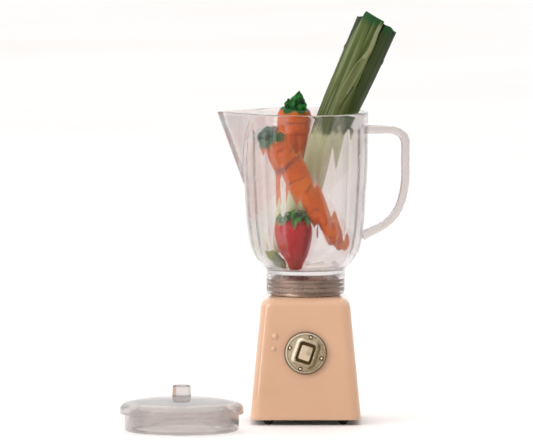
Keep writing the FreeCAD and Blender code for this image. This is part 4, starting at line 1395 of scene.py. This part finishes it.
# ------------------------------------------------------------------ vegetables
def profile_at(table: Path, share: Array) -> Array:
    """Radius at each share of the length, by a Hermite curve through the table of (share, radius).

    The slope at each entry is the central difference of its neighbours.

    Args:
        table: (share, radius) pairs, shares rising.
        share: where the radius is wanted.

    Returns:
        The radii, in share's shape.
    """
    xs, ys = np.array(table).T
    slope = np.gradient(ys, xs)
    k = np.clip(np.searchsorted(xs, share, side="right") - 1, 0, len(xs) - 2)
    h = xs[k + 1] - xs[k]
    t = (share - xs[k]) / h
    return ((2 * t**3 - 3 * t**2 + 1) * ys[k] + (t**3 - 2 * t**2 + t) * h * slope[k]
            + (-2 * t**3 + 3 * t**2) * ys[k + 1] + (t**3 - t**2) * h * slope[k + 1])


@dataclass
class Vegetable:
    """Something grown along the line from foot to tip, with radii as for profile_at; in millimetres."""

    foot: Point
    tip: Point
    radii: Path

    @property
    def length(self) -> float:
        """Distance from foot to tip."""
        return float(np.linalg.norm(np.array(self.tip) - np.array(self.foot)))

    def skin(self, name: str, rings: Array, paint: Array) -> Piece:
        """Painted object from rings that are built up the Z axis in millimetres."""
        return skin(name, along_axis(rings * MM, np.array(self.foot) * MM, np.array(self.tip) * MM), paint)


@dataclass
class Leek(Vegetable):
    """Leek with a pale shaft and overlapping leaves, cut off level; lengths in millimetres.

    Marks are polylines of (distance below the cut, distance across), seen from the front.
    """

    foot: Point = (-6.94, 4.14, 36.53)
    tip: Point = (16.45, 2.2, 89.5)
    radii: Path = (
        (0.0, 0.4), (0.01, 1.2), (0.045, 2.2), (0.12, 2.9), (0.28, 3.25), (0.43, 3.75), (0.62, 4.35),
        (0.81, 4.7), (1.0, 4.85),
    )
    flatten: float = 0.85
    columns: int = 224
    rows: int = 300
    cap_rows: int = 26
    margin: tuple = ((0.4, 0.78), (2.8, 0.6), (4.9, 0.71), (6.9, 0.76), (8.9, 0.25))
    right_vein: tuple = ((7.5, 0.9), (10.9, 0.78), (12.2, 0.73), (14.2, 0.42), (18.0, 0.0))
    left_vein: tuple = ((8.6, 0.1), (10.9, -0.75), (12.9, -1.05), (15.2, -1.38), (18.6, -1.6), (24.0, -1.25))
    gap: tuple = (
        (0.2, 1.5), (2.9, 1.36), (5.9, 1.62), (7.3, 1.58), (9.3, 1.47), (11.9, 1.44), (14.7, 1.6),
        (16.6, 1.5),
    )
    crack: tuple = ((16.0, 0.75), (21.7, -0.13))
    left_edge: tuple = ((0.0, -3.78), (4.9, -4.25), (9.8, -4.62), (14.0, -5.2))

    def cut(self, across: Array, half: float) -> Array:
        """Height of each leaf's cut end over the nominal one, by distance across.

        Args:
            across: distance across the leek.
            half: half its width at the cut.

        Returns:
            The heights, in across's shape.
        """
        middle = 0.13 - 0.095 * (across - 1.15)
        right = -0.5 - 0.85 * ease(3.0, half, across)
        left = -0.85 - 0.6 * ease(-3.75, -half, across)
        top = middle + (right - middle) * ease(1.05, 1.5, across)
        return top + (left - top) * ease(-3.55, -3.8, across)

    def build(self) -> Piece:
        """Grid of the leek with its relief and paint.

        Returns:
            The leek object.
        """
        length = self.length
        v = (np.linspace(0.0, 1.0, self.rows) ** 0.85)[:, None]
        u = np.arange(self.columns) / self.columns
        turn = TAU * u
        front = ease(0.12, -0.12, np.sin(turn))
        half = self.radii[-1][1]
        reach = profile_at(self.radii, v)
        across = reach * np.cos(turn) * (2.0 * front - 1.0)
        ends = self.cut(half * np.cos(turn), half) - 1.0 * ease(-0.1, 0.9, np.sin(turn))
        s = v * length + ends * ease(0.93, 1.0, v)
        below = length - s

        veins = grain(u, v, 70.0, 5.0, 3)
        broad = grain(u, v, 16.0, 9.0, 5)
        leafy = ease(0.42, 0.54, v)
        gap_width = 0.12 + 0.26 * ease(6.0, 0.5, below)
        beads = 0.75 + 0.25 * np.sin(below * 5.0)

        def near(mark: Path, width: Any, core: float = 0.3) -> Array:
            """1 within share core of a width from the mark, and 0 beyond the width."""
            return ease(1.0, core, line_distance(below, across, mark) / width)

        in_gap = near(self.gap, gap_width, 0.45) * np.where(below > 10, beads, 1.0)
        in_crack, on_margin = near(self.crack, 0.16), near(self.margin, 0.52, 0.55)
        on_right_vein, on_left_vein = near(self.right_vein, 0.2), near(self.left_vein, 0.18)
        edge_at = np.interp(below, [p[0] for p in self.left_edge], [p[1] for p in self.left_edge])
        left_leaf = ease(0.12, -0.12, across - edge_at)
        right_leaf = ease(1.3, 1.75, across) * ease(24.0, 15.0, below)
        relief = -0.14 + 0.045 * veins * leafy + 0.05 * broad - 0.42 * in_gap
        relief = relief - 0.2 * in_crack + 0.12 * on_margin
        relief = relief + 0.05 * (on_right_vein + on_left_vein) - 0.05 * left_leaf - 0.10 * right_leaf
        radius = reach + np.minimum(relief, 0.0) * ease(0.0, 0.05, v)
        rings = round_rings(radius, turn, s, self.flatten)

        paint = Paint(radius.shape, 0x54632C)
        paint.coat(0.4 + 0.9 * broad, 0x66723A).coat(0.9 * veins - 0.05, 0x7E8754)
        paint.coat(-1.5 * veins - 0.1, 0x324618)
        patch = ease(0.15, 0.7, grain(u, v, 9.0, 12.0, 8))
        paint.coat(0.55 * patch * ease(0.98, 0.5, v), 0x3E6A22)
        tongue = ease(0.5, -0.2, across - np.interp(below, [8, 17, 24], [0.75, 0.1, -0.3]))
        tongue *= ease(-0.2, 0.3, across - np.interp(below, [8, 15, 24], [0.2, -1.4, -1.3]))
        paint.coat(0.55 * tongue * ease(8.0, 10.0, below) * ease(27.0, 20.0, below), 0x848C5C)
        paint.coat(0.85 * ease(-0.5, -3.4, across) * ease(0.05, 0.45, veins), 0x8C9670)
        paint.coat(0.8 * right_leaf, 0x2C3E14)
        top = ease(3.2, 0.4, below + 0.8 * broad)
        paint.coat(0.9 * top * (1 - 0.6 * on_margin), 0x125426)
        paint.coat(0.92 * on_margin * ease(0.4, 1.6, below), 0xA0A37A)
        paint.coat(0.8 * on_right_vein * (1 - in_gap), 0x9EA274).coat(0.8 * on_left_vein, 0xA0A670)
        paint.coat(0.9 * left_leaf, 0x1A2E08)
        # Painted shade: the gaps between the leaves are near black. The crack is darker too.
        paint.coat(in_gap * 0.97, 0x081205).coat(in_crack * 0.9, 0x222C10)
        # Painted shade: the leaves' right-hand edge, as seen from the front, is near black where it turns
        # from the light.
        rim = ease(0.86, 0.93, across / half + 0.06 * ease(3.5, 1.0, below))
        paint.coat(0.97 * rim * leafy, 0x040C02)
        ragged = v + 0.02 * grain(u, v, 34.0, 3.0, 11) + 0.035 * broad
        pale = ease(0.565, 0.505, ragged - 0.01 * np.cos(turn))
        paint.rgb *= 0.7
        shaft = Paint(radius.shape, 0xC4C89E)
        shaft.coat(0.6 + broad, 0xB0B280).coat(0.8 * veins, 0xD6D8BA)
        shaft.coat(0.5 * ease(0.3, -0.6, np.cos(turn)), 0xC6D4B4)
        shaft.coat(ease(0.10, 0.0, v) * 0.6, 0x96A060)
        paint.rgb += (shaft.rgb - paint.rgb) * pale[..., None]
        paint.coat(0.5 * ease(0.61, 0.54, ragged) * (1 - pale), 0x3C4E30)

        q = np.linspace(1.0, 0.04, self.cap_rows + 1)[1:, None]
        dip = ends * q * q - 1.1 * (1.0 - q * q) + 0.07 * np.sin(TAU * (q * 4.5 + u))
        inner = radius[-1] * q
        cap = round_rings(inner, turn, length + dip, self.flatten)
        layers = Paint(inner.shape, 0x26461A)
        layers.coat(0.5 + 0.5 * np.sin(TAU * (q * 4.5 + u)), 0x86965C)
        return self.skin("painted_leek", np.vstack([rings, cap]), np.vstack([paint.rgb, layers.rgb]))


@dataclass
class Carrot(Vegetable):
    """Carrot with dents, creases and a green crown; lengths in millimetres.

    Creases are (share of length, share round, half width round, depth).
    """

    name: str
    seed: int
    creases: tuple[tuple[float, float, float, float], ...]
    flesh: int = 0xCC5408
    glow: int = 0xD8701E
    blush: int = 0xB0380E
    crease_paint: int = 0x842C24
    collar: float = 0.93
    columns: int = 144
    rows: int = 210

    def root(self) -> Piece:
        """Root of revolution, dented by noise and nicked by its creases.

        Returns:
            The root object.
        """
        v = 0.5 - 0.5 * np.cos(np.linspace(0.03, 0.985, self.rows) * math.pi)[:, None]
        u = np.arange(self.columns) / self.columns
        reach = np.maximum(profile_at(self.radii, v), 0.15)
        dents = grain(u, v, 7.0, 9.0, self.seed)
        fine = grain(u, v, 26.0, 34.0, self.seed + 1)
        bands = grain(u, v, 3.0, 42.0, self.seed + 2)
        streak = grain(u, v, 34.0, 4.0, self.seed + 3)
        nick = np.zeros(dents.shape)
        for at, where, wide, depth in self.creases:
            off = np.abs(np.mod(u - where + 0.5, 1.0) - 0.5) / wide
            bend = at + 0.012 * np.sin(TAU * 2.0 * (u - where)) + 0.006 * streak
            nick = np.maximum(nick, depth * ease(0.012, 0.002, np.abs(v - bend)) * ease(1.0, 0.6, off))
        ends = ease(0.0, 0.06, v) * ease(1.0, 0.95, v)
        relief = 0.10 * dents + 0.035 * fine - 0.10 * ease(0.45, 0.8, bands) - 0.30 * nick - 0.06
        radius = reach + np.minimum(relief, 0.02) * ends
        paint = Paint(radius.shape, self.flesh)
        paint.coat(0.5 + 0.8 * dents, self.glow).coat(0.6 * ease(0.1, 0.7, streak), self.blush)
        paint.coat(0.5 * ease(0.2, 0.8, fine), self.glow)
        paint.coat(0.55 * ease(0.35, 0.7, bands), self.crease_paint).coat(0.95 * nick, self.crease_paint)
        ragged = v + 0.018 * grain(u, v * 0.0, 22.0, 1.0, self.seed + 5) + 0.01 * np.sin(TAU * 5.0 * u)
        paint.coat(0.6 * ease(self.collar - 0.04, self.collar, ragged), 0x785C1E)
        paint.coat(ease(self.collar - 0.005, self.collar + 0.008, ragged), 0x104C1A)
        return self.skin(f"{self.name}_root", round_rings(radius, TAU * u, v * self.length), paint.rgb)

    def lumps(self, knobs: Sequence[tuple[float, float, float, float]], tall: float, point: float,
              light: int, dark: int) -> list[Piece]:
        """Crumpled leaf knobs off the crown.

        Args:
            knobs: (x, y, z, radius) of each knob from the crown.
            tall: stretch along the axis.
            point: how far the top is drawn in, 0 to 1.
            light: colour of the high places, a painted highlight.
            dark: colour of the folds, painted shade.

        Returns:
            One object per knob.
        """
        rise = np.linspace(0.04, 0.97, 40) * math.pi
        ball = turned(np.stack([np.sin(rise), -np.cos(rise)], -1), 56)
        made = []
        for i, (x, y, z, r) in enumerate(knobs):
            crumple = lattice_noise(ball + i * 7.3, 2.1, self.seed + i)
            crumple += 0.5 * lattice_noise(ball - i, 4.6, self.seed + i)
            lump = ball * (1.0 + 0.20 * crumple)[..., None]
            pull = 1.0 - point * ease(-0.2, 1.0, ball[..., 2])
            lump = lump * np.stack([pull, pull, np.full_like(pull, tall)], -1) * r
            lump += np.array([x, y, z + self.length])
            # Painted shade in the folds and painted highlight on the high places of each knob.
            paint = Paint(crumple.shape, dark).coat(ease(-0.25, 0.45, crumple), light)
            made.append(self.skin(f"{self.name}_lump_{i}", lump, paint.rgb))
        return made


@dataclass
class Strawberry(Vegetable):
    """Strawberry on its point with a bunch of pointed leaves; lengths in millimetres."""

    foot: Point = (-2.3, -3.6, 34.1)
    tip: Point = (-2.3, -3.6, 45.6)
    radii: Path = (
        (0.0, 0.4), (0.02, 1.0), (0.1, 1.75), (0.35, 3.3), (0.6, 4.25), (0.74, 4.42), (0.9, 3.7), (0.98, 2.2),
        (1.0, 1.0),
    )
    columns: int = 144
    rows: int = 150
    seed: int = 41
    leaves: int = 9

    def berry(self) -> Piece:
        """Berry with soft flats, brushed red and pink.

        Returns:
            The berry object.
        """
        v = 0.5 - 0.5 * np.cos(np.linspace(0.03, 0.97, self.rows) * math.pi)[:, None]
        u = np.arange(self.columns) / self.columns
        reach = profile_at(self.radii, v)
        flats = grain(u, v, 7.0, 4.0, self.seed)
        brush = grain(u, v, 22.0, 3.0, self.seed + 1)
        fine = grain(u, v, 40.0, 12.0, self.seed + 2)
        radius = reach + np.minimum(0.12 * flats + 0.03 * fine - 0.08, 0.0) * ease(0.0, 0.05, v)
        paint = Paint(radius.shape, 0xAC020A)
        paint.coat(0.6 * ease(0.0, 0.7, flats), 0xC4181E).coat(0.65 * ease(0.2, 0.7, brush), 0xD44646)
        paint.coat(0.7 * ease(-0.15, -0.6, brush), 0x840006)
        paint.coat(0.6 * ease(0.9, 0.97, v + 0.02 * brush), 0x6E1E18)
        return self.skin("berry_flesh", round_rings(radius, TAU * u, v * self.length), paint.rgb)

    def leaf(self, index: int, turn: float, reach: float, wide: float, lift: float) -> Piece:
        """One pointed leaf that follows the berry's shoulder down.

        Args:
            index: number of the leaf.
            turn: direction it points, in radians.
            reach: share of the berry's length that it hangs down.
            wide: its half width.
            lift: how far its middle rises off the berry.

        Returns:
            The leaf object.
        """
        t = np.linspace(0.0, 1.0, 30)
        share = 1.0 - reach * t**1.6
        out = np.minimum(profile_at(self.radii, share) + 0.22, 5.5 * t + 0.15)
        up = (share - 1.0) * (self.tip[2] - self.foot[2]) + 0.15 + lift * np.sin(math.pi * t)
        line = np.stack([out * math.cos(turn), out * math.sin(turn), up], -1) + np.array(self.tip)
        width = wide * np.sin(math.pi * np.clip(t, 0.04, 0.985) ** 0.75) ** 0.8
        side = np.array([-math.sin(turn), math.cos(turn), 0.0])

        def paint(along: Array, across: Array) -> Array:
            """Dark green, lighter on one side and dry at the point.

            Args:
                along: share of the way to the point.
                across: place across, -1 to 1 from edge to edge.

            Returns:
                Linear colours, one per point.
            """
            spot = np.stack([along * 4.0, across, 0.0 * along + index * 3.7], -1)
            shade = lattice_noise(spot, 1.7, index) + 0.7 * across
            coat = Paint(shade.shape, 0x10501E).coat(ease(-0.3, 0.8, shade), 0x549642)
            return coat.coat(ease(0.75, 1.0, along) * 0.8, 0x8C8C46).rgb

        return blade(f"berry_leaf_{index}", line, side, width, 0.12 * (1.0 - 0.5 * t), 0.25, paint)

    def build(self) -> Piece:
        """Berry, a ring of leaves down its shoulder and a tuft of shorter raised ones.

        Returns:
            The strawberry object.
        """
        parts = [self.berry()]
        for i in range(self.leaves):
            turn = TAU * (i + 0.25 * math.sin(3.1 * i)) / self.leaves - math.pi / 2
            reach = (0.18 + 0.035 * math.cos(1.7 * i)) * (1.0 - 0.35 * max(0.0, -math.cos(turn)))
            parts.append(self.leaf(i, turn, reach, 0.95, 0.45))
        for i in range(6):
            parts.append(self.leaf(20 + i, TAU * i / 6 + 0.4, 0.05, 0.7, 1.25 + 0.2 * math.sin(2.0 * i)))
        return merge("painted_strawberry", parts)


def fallen_leaf() -> Piece:
    """Loose leaf that lies curled against the jug's bowl.

    Returns:
        The leaf object.
    """
    base, point = np.array([-4.2, -1.6, 34.5]), np.array([-9.0, -1.9, 37.95])
    t = np.linspace(0.0, 1.0, 40)
    run = point - base
    side = unit(np.cross(run, np.array([0.0, -0.8, 0.6])))
    lift = unit(np.cross(side, run))
    line = base + t[:, None] * run + lift * (0.3 * np.sin(math.pi * t))[:, None] * np.sign(lift[2])
    width = 1.25 * np.sin(math.pi * np.clip(t, 0.03, 0.98) ** 0.9) ** 0.75

    def paint(along: Array, across: Array) -> Array:
        """Grey green with a pale vein and a yellower point.

        Args:
            along: share of the way to the point.
            across: place across, -1 to 1 from edge to edge.

        Returns:
            Linear colours, one per point.
        """
        ribs = np.sin(TAU * (along * 7.0 - np.abs(across)))
        vein = ease(0.16, 0.02, np.abs(across)) + 0.5 * ease(0.6, 1.0, ribs)
        shade = lattice_noise(np.stack([along * 5.0, across * 1.5, 0.0 * along], -1), 1.4, 77)
        coat = Paint(shade.shape, 0x5C9062).coat(ease(0.35, 0.75, along + 0.15 * shade), 0x9AAE62)
        return coat.coat(0.4 * vein, 0xA6B478).coat(0.5 * ease(0.1, 0.8, -shade), 0x386442).rgb

    return blade("painted_leaf", line, side, width, np.full_like(t, 0.16), 0.12, paint)


# ------------------------------------------------------------------ build
def dress(obj: Piece, material: Finish) -> Piece:
    """Give every face of the object that material.

    Args:
        obj: object to dress.
        material: its finish.

    Returns:
        The same object.
    """
    obj.data.materials.clear()
    obj.data.materials.append(material)
    return obj


def clear_piece(obj: Piece) -> Piece:
    """Let light through a clear piece without the black shadow that path tracing gives to refraction."""
    obj.visible_shadow = False
    return obj


def squashed_spring(obj: Piece, out: Array, travel: float) -> Piece:
    """Return spring with room for the key's travel.

    Each point moves back along the dial's axis by travel times its share of the spring's length, so that the
    coils close up evenly and the end by the plate stays.

    Args:
        obj: The spring at its full length.
        out: Unit vector along the dial's axis, outwards.
        travel: How far the key goes in.

    Returns:
        The spring's object.
    """
    raw = np.empty(len(obj.data.vertices) * 3)
    obj.data.vertices.foreach_get("co", raw)
    points = raw.reshape(-1, 3)
    along = points @ out
    share = (along - along.min()) / np.ptp(along)
    mesh = obj.data.copy()
    mesh.vertices.foreach_set("co", (points - travel * share[:, None] * out).ravel())
    spring = bpy.data.objects.new("spring", mesh)
    bpy.context.scene.collection.objects.link(spring)
    return merge("return_spring", [spring])


def fit(obj: Piece, material: Finish, body: str, slot: str, *nodes: str) -> Piece:
    """Dress a finished piece, ride it on its body and let it stand for CAD nodes.

    Args:
        obj: finished piece.
        material: its finish.
        body: body that it moves with.
        slot: kind of surface; not used.
        nodes: CAD nodes that it stands for.

    Returns:
        The same object.
    """
    dress(obj, material)
    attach(obj, body)
    if nodes:
        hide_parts(*nodes)
    log.info("%s: %d faces, body %s", obj.name, len(obj.data.polygons), body)
    return obj


def build_base(nodes: dict, boxes: dict, bore: float) -> None:
    """Shell, seat and dial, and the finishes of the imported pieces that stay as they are.

    Args:
        nodes: packed objects by name.
        boxes: lowest and highest corner of each packed object.
        bore: inner radius of the jug's skirt, which the seat fills.
    """
    base = Base()
    low, high = boxes["casing"]
    face = base.face(low, high, base.dial_height)
    enamel = Enamel().material("peach_enamel", low[2], high[2] - low[2], base.dial_height)
    shell = merge("painted_shell", [base.shell("shell", low, high), *base.pips(face)])
    fit(shell, enamel, "base", "base_paint", "casing")
    turned_metal = Metal(0xA48E80, 0x3E2C22, 0.26, 900.0, 0.07, 2500.0).material("turned_metal")
    fit(base.seat(*boxes["jug_seat"], bore), turned_metal, "base", "seat_metal", "jug_seat")

    steel = Metal(0xBEBEBA, 0x605E5A, 0.3).material("plain_steel")
    key_metal = Metal(0xEEDBBE, 0x806C4A, 0.38, 3200.0, 0.1).material("key_metal")
    rivet_metal = Metal(0xF0E4CC, 0xAA9670, 0.25).material("rivet_metal")
    plastic = Matt(0x968C84, 0xA49A92).material("plate_plastic")
    rubber = Matt(0x1C1B1B, 0x343231, 0.65).material("black_rubber")
    for finish, names in (
        (rubber, ("foot_front_left", "foot_front_right", "foot_back_left", "foot_back_right")),
        (steel, ("base_screws", "seat_washer", "seat_screw", "dial_nut", "key_clip")),
        (plastic, ("base_plate",)), (key_metal, ("switch_key",)), (rivet_metal, ("dial_rivets",)),
    ):
        for name in names:
            dress(nodes[name], finish)
    coil = squashed_spring(nodes["key_spring"], face[2], KEY_ROOM)
    fit(coil, steel, "dial", "spring_steel", "key_spring")
    # The dial's paint holds patina in its low places and painted highlights and shade.
    patina = PaintedFinish(0.36, 0.03, 0.2, 3500.0, 0.0, 0.6).material("dial_patina_and_painted_light")
    fit(Dial().plate(face), patina, "dial", "dial_metal", "dial_plate")


def build_clear(boxes: dict, jug: Jug) -> None:
    """Jug, handle, lid and knob.

    Args:
        boxes: lowest and highest corner of each packed object.
        jug: the jug's sizes.
    """
    lid = Lid()
    jug_low, jug_high = boxes["jug"]
    lid_low, lid_high = boxes["lid"]
    lid_tint = (0.61, 0.567, 0.553)
    knob_clear = ClearPlastic(lid_tint, joint=lid_high[2] + lid.rise)
    for obj, finish, name, body, slot, node in (
        (jug.body(jug_low, jug_high, boxes["jug_seat"][1][2]), ClearPlastic(),
         "clear_jug", "jug", "jug_clear", "jug"),
        (Handle().bar(jug_high[2], jug.radius), ClearPlastic((0.57, 0.51, 0.495)),
         "clear_handle", "jug", "handle_clear", "jug_handle"),
        (lid.cover(lid_low, lid_high), ClearPlastic(lid_tint), "clear_lid", "lid", "lid_clear", "lid"),
        (lid.knob(*boxes["lid_knob"], lid_high[2]), knob_clear, "clear_knob", "lid", "lid_clear", "lid_knob"),
    ):
        fit(clear_piece(obj), finish.material(name), body, slot, node)


def carrots() -> list[tuple]:
    """Each carrot with what its lumps are made of.

    Returns:
        Carrot, knobs, tall, point, light and dark of each, as for Carrot.lumps.
    """
    front = Carrot(
        (8.6, -3.2, 38.4), (-8.26, -5.3, 64.3),
        ((0.0, 0.3), (0.015, 1.2), (0.06, 1.85), (0.2, 2.2), (0.45, 2.85), (0.75, 3.2), (0.9, 3.1),
         (0.97, 2.5), (1.0, 1.4)),
        "front_carrot", 7,
        ((0.735, 0.72, 0.11, 1.0), (0.52, 0.80, 0.08, 0.7), (0.36, 0.70, 0.07, 0.7), (0.24, 0.78, 0.09, 0.8),
         (0.86, 0.78, 0.06, 0.6), (0.62, 0.66, 0.05, 0.6), (0.13, 0.72, 0.08, 0.6)),
    )
    back = Carrot(
        (-4.4, 8.6, 45.0), (-2.3, 4.8, 69.7),
        ((0.0, 0.3), (0.015, 0.7), (0.08, 1.2), (0.3, 1.9), (0.6, 2.9), (0.85, 3.8), (0.94, 3.65),
         (0.985, 2.7), (1.0, 1.6)),
        "back_carrot", 19,
        ((0.87, 0.72, 0.05, 0.6), (0.78, 0.8, 0.07, 0.7), (0.62, 0.7, 0.07, 0.7), (0.45, 0.76, 0.09, 0.7)),
        flesh=0xCE5416, glow=0xDE6E2A, collar=0.968,
    )
    ring = [(1.62 * math.cos(a), 1.62 * math.sin(a), 0.05 + 0.2 * math.sin(5 * a), 1.0)
            for a in np.arange(7) * TAU / 7]
    crown = ring + [(0.4, -0.3, 0.5, 1.2), (-0.5, 0.4, 0.35, 1.1)]
    tuft = [(0.25, 0.0, 0.3, 2.1), (0.45, -0.2, 1.4, 1.6), (0.7, 0.0, 2.4, 1.0), (-1.6, -0.5, 0.6, 0.95),
            (1.5, 0.2, 0.7, 1.1)]
    return [(front, crown, 0.85, 0.0, 0x0E5836, 0x02221A), (back, tuft, 1.25, 0.6, 0x1E7622, 0x04300C)]


def build_food() -> None:
    """Vegetables and the loose leaf."""
    painted = PaintedFinish()
    resin = painted.material("painted_resin")
    leek_paint = PaintedFinish(0.5, 0.06, 0.2, coat=0.0).material("painted_leek")
    fit(Leek().build(), leek_paint, "leek", "leek_resin", "leek")
    for carrot, *lumps in carrots():
        obj = merge(f"painted_{carrot.name}", [carrot.root()] + carrot.lumps(*lumps))
        fit(obj, resin, carrot.name, "carrot_resin", carrot.name)
    berry_paint, leaf_paint = painted.material("painted_berry"), painted.material("painted_leaf")
    fit(Strawberry().build(), berry_paint, "strawberry", "strawberry_resin", "strawberry")
    fit(fallen_leaf(), leaf_paint, "jug", "leaf_resin", "fallen_leaf")


def main() -> None:
    """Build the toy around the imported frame."""
    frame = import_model()
    boxes = {name: (np.array(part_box(name)[0]), np.array(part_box(name)[1])) for name in frame["nodes"]}
    jug = Jug()
    Studio().build()
    build_base(frame["nodes"], boxes, jug.skirt - jug.skirt_wall)
    build_clear(boxes, jug)
    build_food()

    bpy.context.scene.view_settings.view_transform = "Standard"


if __name__ == "__main__":
    main()
